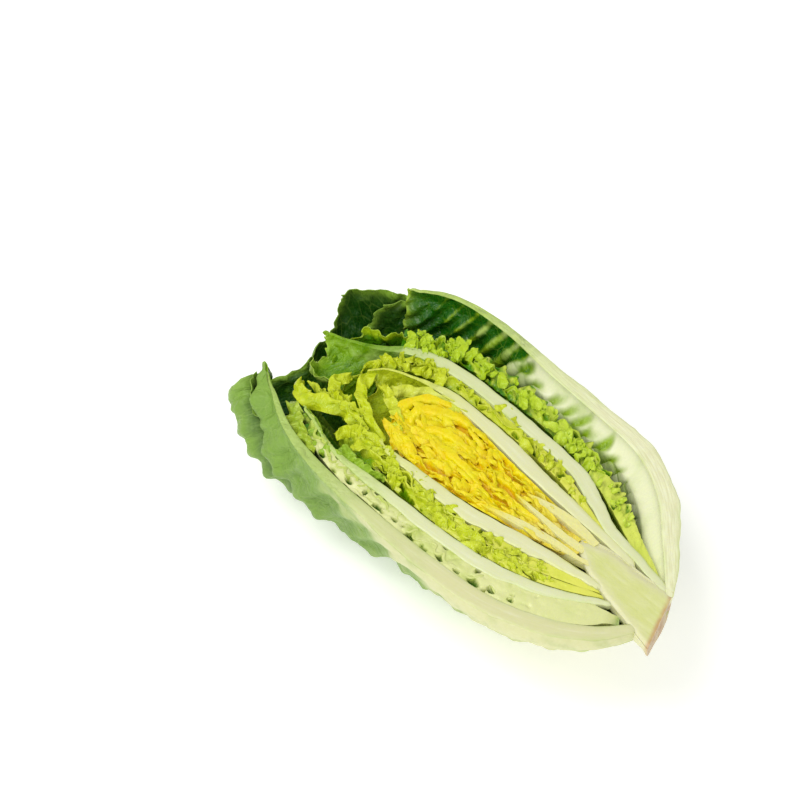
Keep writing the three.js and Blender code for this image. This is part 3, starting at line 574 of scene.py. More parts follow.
# ---- Leaf meshes ----
def leaf_places(leaf):
    """t and phi of a grid over the leaf, closest together at the cut."""
    rows, columns = leaf["grid"]
    place = np.linspace(-leaf["foot"] / leaf_length(leaf), 1, rows)[:, None] * np.ones((1, columns))
    u = np.linspace(0, 1, columns)[None, :]
    s = 1 - (1 - u) ** 1.35 if is_near(leaf) else u**1.35
    lo, hi = along(leaf["start"], place), along(leaf["to"], place)
    phi = lo + (hi - lo) * s
    shorter = leaf["rounding"] * np.minimum(1, ((phi - leaf["rib"]) / 80) ** 2)
    ragged = 0.012 * place**6 * (1 + layered_noise(phi / 9, 0.5, leaf["seed"]))
    return leaf["ends"] * place * (1 - shorter - ragged), phi


def margin_distance(leaf, t, phi):
    """Distance from the leaf's free edges, in millimetres."""
    place = np.linspace(0, 1, t.shape[0])[:, None]
    free = (1 - place) * leaf_length(leaf) * leaf["ends"] * np.ones(t.shape)
    half = half_width(leaf, t)
    if leaf["start"][0] > 1:
        free = np.minimum(free, half * np.radians(phi - phi[:, :1]))
    if not is_near(leaf):
        free = np.minimum(free, half * np.radians(phi[:, -1:] - phi))
    return free


def crinkled(leaf, t, phi):
    """Points of the leaf's inner face with its crinkles, and their depth below the cut along the leaf."""
    p, n, up_leaf = base_frame(leaf, t, phi)
    a, seed = t * leaf_length(leaf), leaf["seed"]
    depth = half_width(leaf, t) * np.radians((180 - phi) if is_near(leaf) else phi)
    lean = along(leaf["lean"], t)
    if "layer" not in leaf:
        lean = lean + 0.3 * layered_noise(a / 7, 0.5, seed + 15)
    h = height(leaf, t, phi) - fold(leaf, t, phi) - lean * np.maximum(0, 1 - depth / (3 + 0.6 * np.abs(lean)))
    slide = np.zeros(t.shape)
    if "frill" in leaf:
        frill, wave, reach = leaf["frill"]
        uneven = 0.5 + 1.1 * np.abs(noise(a / 4.1, depth / 8, seed))
        size = along(frill, t) * uneven * np.exp(-depth / reach)
        turn = 2 * math.pi * a / wave + 4.2 * noise(a / 5.3, depth / 7, seed + 3) + 0.22 * depth
        tilt = 1.5 * along(frill, t) * noise(a / 5.9, 0.5, seed + 6) * np.maximum(0, 1 - depth / 7)
        crease = 0.35 * layered_noise(a / 1.5, depth / 2.2, seed)
        h = h + size * (np.sin(turn) + 0.25 * np.sin(1.7 * turn + 1) + crease) + tilt
        slide = -0.16 * size * np.sin(2 * turn)
    return p + n * h[..., None] + up_leaf * slide[..., None], depth


def grid_normals(p):
    return unit(np.cross(np.gradient(p, axis=1), np.gradient(p, axis=0)))


def edge_level(leaf, t, a):
    """How high the cut edge of a thin leaf stands over the cut plane. Its base sinks under the stem."""
    if "edge" not in leaf:
        return 0.0
    return leaf["edge"] * (layered_noise(a / 2.4, 0.3, leaf["seed"] + 20) - 0.25) - 6 * smooth(0.11, 0.0, t)


def leaf_sheet(leaf):
    """The leaf as one closed sheet."""
    t, phi = leaf_places(leaf)
    inner, depth = crinkled(leaf, t, phi)
    free = margin_distance(leaf, t, phi)
    a, b = t * leaf_length(leaf), from_rib(leaf, t, phi)
    crisp = leaf["margin"] * np.exp(-free / 4.5) * smooth(0.45, 0.9, t)
    crisp = crisp * layered_noise(a / 3.6, b / 3.6, leaf["seed"] + 9)
    if "layer" in leaf:
        crisp = np.maximum(crisp, -0.3)
    inner = inner + grid_normals(inner) * crisp[..., None]
    n = grid_normals(inner)
    thin = 0.35 + 0.65 * smooth(0, 2.2, free)
    outer = inner + n * (thickness(leaf, t, phi) * thin)[..., None]
    if leaf["pleated"]:  # the fleshy side of its rib slopes inwards below the cut
        flesh = FLESH_SLOPE * smooth(0, 5, depth) * smooth(26, 7, depth)
        inner = inner - n * (flesh * smooth(0.0, 0.1, t) * smooth(0.72, 0.5, t))[..., None]
    edge = edge_level(leaf, t, a)
    sunk = 0.6 * smooth(0, FOOT_END, t)
    for face, lowest in ((inner, -REST_DEPTH + leaf["blade"]), (outer, -REST_DEPTH)):
        z = np.maximum(face[..., 2] + edge * np.exp(-depth / 2.5), lowest)
        eased = held_under(z, 0.9 + np.minimum(0, edge + 0.5))
        face[..., 2] = np.where(is_cut(phi), edge - BRINK, eased) - sunk
    return closed_sheet(leaf, inner, outer, t, phi, a, b, depth, free)


def sheet_values(leaf, t, phi, a, b, depth, free):
    """What the leaf's material needs to know at each place of a sheet."""
    width, green = np.abs(b) / along(leaf["rib_width"], t), along(leaf["green"], t)
    away = np.maximum(smooth(0.4, 1.9, width), 0.85 * smooth(0.5, 0.8, t))
    blade = green * (0.3 + 0.7 * away)
    green_part = np.maximum(smooth(0.5, 2.2, width), 0.8 * smooth(0.55, 0.8, t))
    # Painted shade: the recesses between the wall's veins turn green and dark green.
    if leaf["pleated"]:
        reach = depth + 2.5 * noise(a / 2.6, 0.5, 3.3) + 7 * smooth(0.2, 0.42, t) + 30 * smooth(0.55, 0.8, t)
        recess = (1 - np.minimum(1, bulges(leaf, a, b))) * smooth(6, 12, reach)
        blade = np.maximum(blade, recess)
        green_part = (0.5 + 0.8 * smooth(0.5, 0.75, t)) * recess + smooth(0.72, 0.88, t)
    dark_tone_and_shade = along(leaf["dark_tone_and_shade"], t) * green_part * (0.25 + 0.75 * smooth(0.3, 3.0, free))
    # Painted shade: a frilled leaf turns dark green the deeper it lies below the cut.
    if "frill" in leaf:
        dark_tone_and_shade = dark_tone_and_shade * smooth(0, 3, depth) + 0.75 * smooth(1.2, 6, depth) * green
    # Painted shade: the fold is darkened along its depth.
    if leaf["folded"]:
        dark_tone_and_shade = dark_tone_and_shade + 0.22 * fold(leaf, t, phi)
    return dict(
        blade=blade, dark_tone_and_shade=dark_tone_and_shade, cut=is_cut(phi) * 1.0, free=np.exp(-free / 1.6), brink=np.ones_like(t),
        tip=green * smooth(0.35, 0.75, t),
    )


def edge_band(leaf, inner, outer, phi, values, places, j, count):
    """The points, values and places of the narrow band between the two faces of a sheet at column j."""
    s = (0.5 - 0.5 * np.cos(math.pi * np.arange(1, count + 1) / (count + 1)))[None, :]
    points = inner[:, j : j + 1] * (1 - s[..., None]) + outer[:, j : j + 1] * s[..., None]
    thick = np.linalg.norm(outer[:, j] - inner[:, j], axis=-1)[:, None]
    to_brink = np.minimum(s, 1 - s) * thick
    relief = 0.05 * layered_noise(places[:, j : j + 1, 0] / 2.5, s * 5, leaf["seed"] + 31)
    rise = relief + BRINK * (1 - np.exp(-to_brink / 0.3))
    points[..., 2] += np.where(is_cut(phi[:, j : j + 1]), rise, 0)
    place = np.repeat(places[:, j : j + 1], count, axis=1)
    place[..., 2] = s * thick
    band = {k: np.repeat(v[:, j : j + 1], count, axis=1) for k, v in values.items()}
    band["brink"] = np.exp(-to_brink / 0.55)
    return points, band, place


def closed_sheet(leaf, inner, outer, t, phi, a, b, depth, free):
    """Joins the two faces of a sheet round their edge."""
    rows, columns = t.shape
    band = RIB_BAND_COLUMNS if leaf["rib"] in (0, 180) else THIN_BAND_COLUMNS
    values = sheet_values(leaf, t, phi, a, b, depth, free)
    places = np.stack([a, b, np.zeros_like(a)], axis=-1)
    end, end_values, end_place = edge_band(leaf, inner, outer, phi, values, places, columns - 1, band)
    first, first_values, first_place = edge_band(leaf, inner, outer, phi, values, places, 0, band)

    def around(face, last, back, before):
        return np.concatenate([face, last, back[:, ::-1], before[:, ::-1]], axis=1)

    points = around(inner, end, outer, first)
    out = {k: around(v, end_values[k], v, first_values[k]) for k, v in values.items()}
    out["back"] = np.zeros(points.shape[:2])
    out["back"][:, columns + band : 2 * columns + band] = 1
    place = around(places, end_place, places, first_place)
    return points.reshape(-1, 3), tube_faces(rows, columns, band), out, place.reshape(-1, 3)


def loop_quads(rows, loop):
    """Faces between stacked loops of points."""
    i, j = np.meshgrid(np.arange(rows - 1), np.arange(loop), indexing="ij")
    k = (j + 1) % loop
    quads = np.stack([i * loop + j, i * loop + k, (i + 1) * loop + k, (i + 1) * loop + j], axis=-1)
    return quads.reshape(-1, 4)


def tube_faces(rows, columns, band):
    """Faces of a flat tube of stacked loops, with its two ends closed in strips across the sheet."""
    loop = 2 * (columns + band)
    faces = loop_quads(rows, loop).tolist()
    mirror = 2 * columns + band - 1
    for start, flip in ((0, True), ((rows - 1) * loop, False)):
        caps = [[c, c + 1, mirror - c - 1, mirror - c] for c in range(columns - 1)]
        caps.append([columns - 1 + c for c in range(band + 2)])
        caps.append([mirror + c for c in range(band + 1)] + [0])
        faces += [[start + c for c in (cap[::-1] if flip else cap)] for cap in caps]
    return faces


def loop_faces(rows, loop, sheet=False, flip=False):
    """Faces of stacked loops of points, closed at the first and last, which a sheet does in strips across.

    flip is for loops that run the other way round.
    """
    quads = loop_quads(rows, loop)
    if flip:
        quads = quads[:, [0, 3, 2, 1]]
    caps = [list(range(loop))]
    if sheet:
        caps = [[c, c + 1, loop - 2 - c, loop - 1 - c] for c in range(loop // 2 - 1)]
    first, last = [cap[::-1] for cap in caps], [[(rows - 1) * loop + c for c in cap] for cap in caps]
    if flip:
        first, last = caps, [cap[::-1] for cap in last]
    return quads.tolist() + first + last


def to_frame(points):
    """Head coordinates in millimetres to the frame in metres, tied to the stem's CAD node."""
    low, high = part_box("stem")
    origin = np.array([high.x - STEM_END[0] * MM, low.y - STEM_END[1] * MM, high.z])
    return points * MM + origin


def make_object(name, parts, material, node):
    """Joins parts (points, faces, values, places) into one object that stands for a CAD node."""
    faces, offset = [], 0
    for points, part_faces, _, _ in parts:
        faces += [[v + offset for v in face] for face in part_faces]
        offset += len(points)
    mesh = bpy.data.meshes.new(name)
    mesh.from_pydata(to_frame(np.concatenate([part[0] for part in parts])).tolist(), [], faces)
    for key in parts[0][2]:
        value = np.concatenate([np.ravel(part[2][key]) for part in parts])
        layer = mesh.attributes.new(key, "FLOAT", "POINT")
        layer.data.foreach_set("value", np.clip(value, 0, 1).astype(np.float32))
    layer = mesh.attributes.new("place", "FLOAT_VECTOR", "POINT")
    layer.data.foreach_set("vector", np.concatenate([part[3] for part in parts]).astype(np.float32).ravel())
    mesh.shade_smooth()
    mesh.set_sharp_from_angle(angle=SHARP_ANGLE)
    mesh.materials.append(material)
    piece = bpy.data.objects.new(name, mesh)
    bpy.context.scene.collection.objects.link(piece)
    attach(piece, "root")
    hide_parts(node)


# ---- Heart ----
def heart_part(points, faces, dark_tone_and_shade, pale, cut):
    """One part of the heart as points, faces, vertex values and places."""
    points = points.reshape(-1, 3)
    return points, faces, dict(dark_tone_and_shade=dark_tone_and_shade, pale=pale + 0 * dark_tone_and_shade, cut=cut + 0 * dark_tone_and_shade), points.copy()


def heart_lines(t):
    """The heart's far and near lines in the cut plane, spread out to its neighbours' ribs."""
    out = HEART_SPREAD * smooth(0.0, 0.1, t) * smooth(1.0, 0.9, t)
    far, near = spline(HEART_FAR, t), spline(HEART_NEAR, t)
    far[..., 1] += out
    near[..., 1] -= out
    return far, near


def heart_depth(x, v, end):
    """Depth of the heart's crumpled leaves, which lie over each other like shells round its middle."""
    w = x * (1 - end) + 9 * (np.arctan2(v, np.maximum(end, 1e-6)) * end)
    u = 9 * np.sqrt(v**2 + end**2)
    w, u = w + 1.6 * noise(w / 4, u / 3, 2.5), u + 1.1 * noise(w / 3.4, u / 2.6, 8.5)
    return 0.1 + 1.5 * off_lines(w / 5.2, u / 1.7, 6.5) + 0.6 * off_lines(w / 2.3, u / 0.85, 4.5)


def heart_floor():
    """The heart's body, with a smooth underside and a crumpled face."""
    t = np.linspace(0, 1, HEART_ROWS)[:, None]
    phi = np.linspace(4, 176, HEART_UNDER_COLUMNS)[None, :]
    under = bowl(HEART_FAR, HEART_NEAR, t + 0 * phi, phi)
    under[..., 2] = np.minimum(under[..., 2], -3.6)
    v = np.linspace(-1, 1, HEART_TOP_COLUMNS)[None, :]
    far, near = heart_lines(t)
    over = near + (far - near) * (v[..., None] + 1) / 2
    end = smooth(0.5, 1.0, t) * 0.9 * np.ones_like(v)
    depth = heart_depth(over[..., 0], v, end) * smooth(47, 36, over[..., 0])
    z = -0.3 - depth * (0.25 + 0.75 * smooth(0, 0.12, 1 - np.abs(v)))
    points = np.concatenate([under, np.concatenate([over, z[..., None]], axis=-1)], axis=1)
    x, z = points[..., 0], points[..., 2]
    # Painted shade: the crumpled face turns dark orange where it lies deep.
    return heart_part(points, loop_faces(*z.shape), smooth(-1.1, -2.6, z), 0.25 * smooth(18, 44, x), 0)


def lobe(origin, forward, up, length, width, seed, arch, cup, ruffle, bend):
    """The two faces of a small crinkled lobe of leaf that rises from its sunk base and bends over."""
    u = np.linspace(0, 1, LOBE_ROWS)[:, None] * np.ones((1, LOBE_COLUMNS))
    v = np.linspace(-1, 1, LOBE_COLUMNS)[None, :] * np.ones((LOBE_ROWS, 1))
    forward = unit(forward)
    side = unit(np.cross(up, forward))
    up = np.cross(forward, side)
    outline = np.sin(math.pi * (0.14 + 0.76 * u**0.8)) ** 0.5
    rise = arch * np.sin(math.pi * (0.08 + 0.62 * u)) - cup * width * v**2 * (0.5 + 0.4 * np.sin(seed))
    rise = rise + 0.22 * (0.3 + 0.7 * u) * layered_noise(u * length / 2.2 + seed, v * width / 1.7, seed)
    rise = rise + ruffle * v * np.abs(v) * np.sin(2 * math.pi * u * length / 3.1 + seed + 1.6 * v)
    across = 0.5 * width * outline * (v + 0.22 * noise(u * 3.2, v * 1.4, seed + 3)) + bend * length * u**2
    length_here = length * (u + 0.1 * noise(u * 2, v * 2, seed + 5) * u - 0.1 * u * v**2)
    inner = origin + forward * length_here[..., None] + side * across[..., None] + up * rise[..., None]
    thick = LOBE_THICKNESS * (1 - 0.6 * np.maximum(np.abs(v) ** 3, u**4))
    return inner, inner + normals_against(inner, up) * thick[..., None], u, v


def normals_against(points, up):
    """Normals of a grid of points, all turned to the side that faces away from up."""
    n = grid_normals(points)
    return n * -np.sign((n * up).sum(axis=-1).mean())


def two_faced(inner, outer, top):
    """The loops of points round a thin sheet that is held under a top, with their faces."""
    points = np.concatenate([inner, outer[:, ::-1]], axis=1)
    points[..., 2] = held_under(points[..., 2], top)
    return points, loop_faces(*points.shape[:2], sheet=True)


def heart_petal(random, seed):
    """A small convex leaf on the heart's face that points towards the tips' side."""
    t, v = random.uniform(0.16, 0.86), random.uniform(-0.93, 0.93)
    far, near = heart_lines(np.array([t, t + 0.02]))
    spot, ahead = near + (far - near) * (v + 1) / 2
    length = random.uniform(4.5, 9) * (0.6 + 0.55 * t)
    width = random.uniform(1.4, 3.2) * (0.5 + 0.75 * smooth(0.2, 0.8, t))
    turn = random.normal(0, 0.28) - 1.1 * v * smooth(0.72, 1, t)
    x, y = ahead - spot
    c, s = math.cos(turn), math.sin(turn)
    forward = unit(np.array([c * x - s * y, s * x + c * y, 0])) + [0, 0, random.uniform(-0.05, 0.12)]
    up = unit(np.array([random.normal(0, 0.25), random.normal(0, 0.4), 1]))
    arch, bend = random.uniform(0.8, 1.5), random.normal(0, 0.06) - 0.16 * v * smooth(0.6, 0.9, t)
    z = -1.55 + random.uniform(-0.35, 0.3) - 0.6 * smooth(0.6, 0.85, t)
    origin = np.array([*(spot - unit(forward)[:2] * length * 0.5), z])
    inner, outer, u, _ = lobe(origin, forward, up, length, width, seed, arch, 0.3, 0.3, bend)
    points, faces = two_faced(inner, outer, 0.35)
    u = np.concatenate([u, u], axis=1)
    # Painted shade: a petal turns dark orange where it lies deep and at its base.
    dark_tone_and_shade = np.maximum(smooth(-1.1, -2.4, points[..., 2]), 0.5 * smooth(0.35, 0, u))
    return heart_part(points, faces, dark_tone_and_shade, 0.5 * smooth(20, 44, points[..., 0]), 0.6 * smooth(0.7, 1, u))


def heart_petals():
    """Small leaves that overlap from the stem's side to the tips' side of the heart's face."""
    random = np.random.default_rng(5)
    return [heart_petal(random, 3.1 * k) for k in range(PETAL_COUNT)]


def path_directions(path):
    """The directions along a path in the cut plane and to its left."""
    direction = unit(np.gradient(path, axis=0))
    return direction, np.stack([-direction[:, 1], direction[:, 0]], axis=-1)


def ribbon(path, top, pale, lean):
    """A thin upright leaf edge along a path in the cut plane, with its crumpled sides."""
    side = path_directions(path)[1][:, None, :]
    s = np.linspace(0, 1, RIM_LEVELS)[None, :]
    z = (top + RIM_DEPTH)[:, None] * s - RIM_DEPTH
    shift = lean[:, None] * s**2 + 0.25 * noise(path[:, 0:1] / 1.3, path[:, 1:2] / 1.3, z / 1.2)
    half = 0.5 * RIM_THICKNESS * (1.25 - 0.6 * s**3)
    left, right = (
        np.concatenate([path[:, None, :] + side * out[..., None], z[..., None]], axis=-1)
        for out in (shift + half, shift - half)
    )
    points = np.concatenate([left, right[:, ::-1]], axis=1)
    z = points[..., 2]
    cut = np.zeros(z.shape)
    cut[:, RIM_LEVELS - 1 : RIM_LEVELS + 1] = 1
    # Painted shade: the rim's sides turn dark orange below the cut.
    return heart_part(points, loop_faces(*z.shape, flip=True), smooth(-0.9, -3.0, z), pale[:, None], cut)


def heart_rim():
    """The crumpled leaf edge that follows the heart's outline round its tip."""
    scale, centre = 0.97, np.array([4.0, 1.6])
    places = np.linspace(0, 1, 160)
    outline = np.concatenate([spline(HEART_FAR, places), spline(HEART_NEAR, places)[::-1]])
    loop = centre + (outline - centre) * np.array([0.45 + 0.55 * scale, scale])
    length = np.concatenate([[0], np.cumsum(np.linalg.norm(np.diff(loop, axis=0), axis=1))])
    s = np.linspace(0, length[-1], int(length[-1] / RIM_STEP))
    path = np.stack([np.interp(s, length, loop[:, c]) for c in (0, 1)], axis=-1)
    direction, side = path_directions(path)
    size = (0.25 + 0.9 * (1 - scale)) * (0.6 + 0.9 * noise(s / 5, 0)) * smooth(40, 22, path[:, 0])
    turn = 2 * math.pi * s / 4.6 + 4.0 * noise(s / 4.5, 2)
    path = path + side * (size * np.sin(turn))[:, None] - direction * (0.3 * size * np.sin(2 * turn))[:, None]
    top = np.minimum(-0.6 + 0.9 * layered_noise(s / 3.1, 0), 0.35)
    return ribbon(path, top, 0.75 * smooth(14, 42, path[:, 0]), 0.8 * noise(s / 5, 0))


def heart_rib(route, widths):
    """A cut rib lying in the heart: a solid strip with a flat top in the cut plane."""
    t = np.linspace(0, 1, HEART_RIB_ROWS)
    path = spline(route, t)
    side = path_directions(path)[1][:, None, :]
    half = along(widths, t)[:, None] / 2
    across = np.array([-0.8, -1, -0.9, -0.5, 0, 0.5, 0.9, 1, 0.8])[None, :]
    fall = np.array([-1, -0.4, 0, 0, 0, 0, 0, -0.4, -1])[None, :]
    wobble = 0.12 * noise(t[:, None] * 22, across * 3, 4.4)
    flat = path[:, None, :] + side * (half * across + wobble)[..., None]
    z = fall * HEART_RIB_DEPTH - 0.03 + 0.04 * noise(t[:, None] * 30, across * 4, 1.1)
    points = np.concatenate([flat, z[..., None]], axis=-1)
    pale = smooth(0, 0.25, 1 - t)[:, None]
    return heart_part(points, loop_faces(*z.shape, flip=True), np.zeros(z.shape), pale, fall > -0.1)


# ---- Loose ends of leaves and large folds of the heart ----
def strip_faces(route, widths, seed, rows, wave=0.75, cup=1.5, thick=0.35):
    """The two faces of a strip of blade along a route, turned up towards the near side."""
    t = np.linspace(0, 1, rows)[:, None] * np.ones((1, STRIP_COLUMNS))
    u = np.linspace(-0.5, 0.5, STRIP_COLUMNS)[None, :] * np.ones((rows, 1))
    path = spline(route, t)
    direction = unit(np.gradient(path, axis=0))
    side = unit(np.cross(direction, np.array([0.35, -0.55, 0.75])))
    width = along(widths, t)
    a = t * 32
    turn = 2 * math.pi * a / 7.5 + 3 * noise(a / 6, u, seed) + 2.5 * u
    lift = wave * (np.sin(turn) + 0.3 * layered_noise(a / 1.8, u * 3, seed)) * (0.25 + 2.4 * np.abs(u))
    up = unit(np.cross(side, direction))
    up = up * np.sign(up[..., 2:3])
    across = 1.15 * width * (u + 0.12 * noise(a / 3.2, u * 2, seed + 4))
    inner = path + side * across[..., None] + up * (lift - cup * u**2)[..., None]
    inner[..., 2] = held_under(inner[..., 2], 0.7)
    edge = (0.5 - np.abs(u)) * width
    thick = thick * (1 + 0.7 * smooth(0, 0.8, edge))
    return inner, inner + normals_against(inner, up) * thick[..., None], a, u * width, edge


def loose_strip(leaf, seed, route, widths, green, dark_tone_and_shade):
    """A loose end of a leaf as part of the leaf's mesh."""
    inner, outer, a, b, edge = strip_faces(route, widths, seed, STRIP_ROWS)
    strip_leaf = dict(leaf, green=[green], dark_tone_and_shade=[dark_tone_and_shade], rib=90)
    return closed_sheet(strip_leaf, inner, outer, 0.7 + 0 * a, 90 + 0 * a, a, 9 + b, 2 + 0 * a, edge)


def heart_fold(route, widths, seed):
    inner, outer, *_ = strip_faces(route, widths, seed, FOLD_ROWS, wave=0.3, cup=4.2, thick=0.3)
    points, faces = two_faced(inner, outer, 0.4)
    # Painted shade: a fold turns dark orange where it lies deep.
    return heart_part(points, faces, smooth(-1.1, -2.4, points[..., 2]), 0, 0)


# ---- Crumpled filling between the cut ribs ----
def cut_frame(leaf, t):
    """The points of a leaf's base surface at the cut, their outward normals and directions to the tip."""
    return base_frame(leaf, t, (180.0 if is_near(leaf) else 0.0) + 0 * t)


def bed_folds(bed, x, y, seed):
    """Depth of a bed's folds: thin creases between swellings or, where sharp is 1, ridges between hollows."""
    long, wide = bed["folds"]
    large = off_lines(x / long, y / wide, seed + 4)
    small = off_lines(2.1 * x / long, 2.1 * y / wide, seed + 6)
    swells = 1.1 * (1 - large) ** 2 + 0.45 * (1 - small) ** 2
    return bed["sharp"] * (large + 0.5 * small) + (1 - bed["sharp"]) * swells


def bed_holes(bed, t, a, b, x, y, seed):
    """1 in a bed's small dark holes and in its row of slots, falling to 0 round them."""
    hole = smooth(bed["holes"], bed["holes"] + 0.25, noise(x / 2.5, y / 2.1, seed + 8)) * smooth(0.12, 0.3, t)
    if "slots" not in bed:
        return hole
    k = np.round(a / bed["slots"])
    from_slot = a - bed["slots"] * (k + 0.3 * noise(k * 1.37, 0.5, seed))
    middle = 0.1 * along(bed["inner"], t) + 0.5 * along(bed["outer"], t) + 0.9 * noise(k * 2.13, 4.5, seed)
    size = 0.35 + 1.5 * np.abs(noise(k * 3.31, 7.5, seed))
    across = (b + 0.25 * from_slot - middle) / (0.8 * size)
    slot = np.exp(-(((from_slot / (1.3 * size)) ** 2 + across**2) ** 2))
    return np.maximum(hole, slot * smooth(0.16, 0.26, t) * smooth(0.3, 0.6, size))


def bed_across(leaf, t, v, a, seed):
    """Distance out from the leaf's line at the cut to the places v, from 0 to 1, across its bed."""
    bed = leaf["bed"]
    fringe = bed.get("fringe", 0) * noise(a / 1.3, 0.5, seed + 15) * smooth(0.1, 0.3, t)
    low, high = along(bed["inner"], t), along(bed["outer"], t) + fringe * smooth(0.5, 1, v)
    middle, taper = (low + high) / 2, 0.4 + 0.6 * smooth(-0.05, 0.06, t)
    return middle + taper * (low * (1 - v) + high * v - middle) - along(leaf["lean"], t)


def leaf_bed(leaf):
    """The crumpled body of a leaf between its neighbours' ribs, as a strip with a creased top."""
    bed, seed = leaf["bed"], leaf["seed"] + 50
    t = np.linspace(-6 / leaf_length(leaf), bed["end"], BED_ROWS)[:, None]
    top, under = np.linspace(0, 1, BED_TOP_COLUMNS), np.linspace(0.85, 0.15, BED_UNDER_COLUMNS)
    v = np.concatenate([top, under])[None, :]
    t, v = t * np.ones_like(v), v * np.ones_like(t)
    a = t * leaf_length(leaf)
    b = bed_across(leaf, t, v, a, seed)
    points, n, _ = cut_frame(leaf, t)
    points = points + unit(n * [1, 1, 0]) * b[..., None]
    x = a + 1.2 * noise(a / 3, b / 3, seed) + bed.get("slant", 0) * b
    y = b + 0.8 * noise(a / 2.4, b / 2.4, seed + 2)
    rim = smooth(0.0, 0.22, np.minimum(v, 1 - v))
    z = -along(bed["level"], t) - along(bed["relief"], t) * (bed_folds(bed, x, y, seed) + 0.25 * (1 - rim))
    z = z - HOLE_DEPTH * bed_holes(bed, t, a, b, x, y, seed) * rim
    z = z - 0.5 * smooth(0.07, 0.0, t) - 1.2 * smooth(0.0, -0.05, t)
    z[:, BED_TOP_COLUMNS:] = -BED_DEPTH
    z = z * (0.15 + 0.85 * smooth(bed["end"], bed["end"] - 0.06, t))
    z = z - 2.5 * smooth(bed["end"] - 0.1, bed["end"], t)
    points[..., 2] = z
    green = along(leaf["green"], t) * smooth(-0.02, 0.12, t)
    values = dict.fromkeys(("cut", "free", "back", "tip", "brink"), 0 * t)
    # Painted shade: the bed turns greener and darker the deeper it lies below the cut, in its folds and
    # holes.
    values["blade"] = green * (0.45 + 0.25 * noise(a / 4, b / 3, seed + 11) + 0.3 * smooth(0.6, 2.2, -z))
    values["dark_tone_and_shade"] = smooth(0.9, 2.6, -z) * (0.75 + 0.25 * green)
    places = np.stack([a, b + 20, 0 * a], axis=-1)
    return points.reshape(-1, 3), loop_faces(*t.shape), values, places.reshape(-1, 3)


def leaf_lobe(leaf, random, seed):
    """A crinkled lobe of a leaf that stands in its bed."""
    lobes, bed = leaf["lobes"], leaf["bed"]
    t = np.array([random.uniform(0.15, bed["end"])])
    point, n, up_leaf = (vectors[0] for vectors in cut_frame(leaf, t))
    n, up_leaf = unit(n * [1, 1, 0]), unit(up_leaf * [1, 1, 0])
    b = random.uniform(along(bed["inner"], t)[0] + 0.5, along(bed["outer"], t)[0] - 0.5)
    b = b - along(leaf["lean"], t)[0]
    turn = random.normal(lobes["turn"], 0.6)
    forward = up_leaf * math.cos(turn) + n * math.sin(turn) + [0, 0, random.uniform(0.0, 0.55)]
    up = [0, 0, 1] + n * random.normal(0, 0.5) + up_leaf * random.normal(0, 0.3)
    scale = (0.45 + 0.55 * smooth(0.1, 0.4, t[0])) * random.uniform(0.5, 1.2)
    length, width = max(1.2, lobes["length"] * scale), max(1, lobes["width"] * scale)
    reach = unit(forward) * length
    origin = point + n * b - 0.5 * reach * [1, 1, 0]
    origin[2] = min(-0.8, lobes["top"] - 0.6 - max(0, reach[2]))
    arch, bend = random.uniform(0.3, 1.2), random.normal(0, 0.1)
    face, back, u, v = lobe(origin, forward, unit(up), length, width, seed, arch, -0.3, 0.7, bend)
    for sheet in (face, back):
        sheet[..., 2] = held_under(sheet[..., 2], 0.8)
    here = dict(leaf, green=[along(leaf["green"], t)[0]], dark_tone_and_shade=[0.6 * along(leaf["dark_tone_and_shade"], t)[0]], rib=90)
    a, across = t[0] * leaf_length(leaf) + u * length, 12 + v * width / 2
    free = np.minimum((1 - u) * length, (1 - np.abs(v)) * width / 2)
    # The frill's painted shade darkens a lobe towards its sunk base.
    return closed_sheet(here, face, back, 0.4 + 0 * u, 90 + 0 * u, a, across, 3 * (1 - u), free)


def leaf_lobes(leaf):
    random = np.random.default_rng(int(leaf["seed"] * 10))
    return [leaf_lobe(leaf, random, k * 2.3) for k in range(leaf["lobes"]["count"])]


# ---- Stem ----
def stem_part():
    """The stem with its cut face, its rounded underside and the knife cut at its butt."""
    t = np.linspace(0, 1, STEM_ROWS)[:, None]
    phi = np.linspace(0, 180, STEM_UNDER_COLUMNS)[None, :]
    under = bowl(STEM_FAR, STEM_NEAR, t + 0 * phi, phi)
    v = np.linspace(-1, 1, STEM_TOP_COLUMNS + 2)[None, 1:-1]
    far, near = spline(STEM_FAR, t), spline(STEM_NEAR, t)
    over = near + (far - near) * (v[..., None] + 1) / 2
    x, y = over[..., 0], over[..., 1]
    from_rim = (1 - np.abs(v)) * (far - near)[..., 1] / 2 + 0.7 * noise(x / 4, y / 3, 5.2)
    relief = 0.02 + 0.04 * layered_noise(x / 3, y / 1.5, 3) - 0.5 * smooth(2.0, 0, from_rim)
    over = np.concatenate([over, relief[..., None]], axis=-1)
    bumps = 0.35 * layered_noise(under[..., 0] / 4, under[..., 1] / 4, under[..., 2] / 4)
    under = under + unit(under * np.array([0, 1, 1])) * (bumps * smooth(0, 2, -under[..., 2]))[..., None]
    points = np.concatenate([under, over], axis=1)
    rows, loop = points.shape[:2]
    butt_points, butt_faces = butt_face(points[0], rows * loop)
    faces = loop_quads(rows, loop).tolist() + [list(range((rows - 1) * loop, rows * loop))] + butt_faces
    points = np.concatenate([points.reshape(-1, 3), butt_points])
    rim = np.concatenate([np.ones(under.shape[:2]), smooth(4.2, 0.6, from_rim)], axis=1)
    rim = np.concatenate([rim.ravel(), np.ones(len(butt_points))])
    return points, faces, dict(rim=rim, butt=smooth(1.5, 0.2, butt_distance(points))), points.copy()


def butt_distance(points):
    """Distance in front of the slanting plane of the butt's knife cut."""
    far, near = np.array(STEM_FAR[0]), np.array(STEM_NEAR[0])
    direction = unit(near - far)
    return np.abs((points[:, :2] - far) @ np.array([direction[1], -direction[0]]))


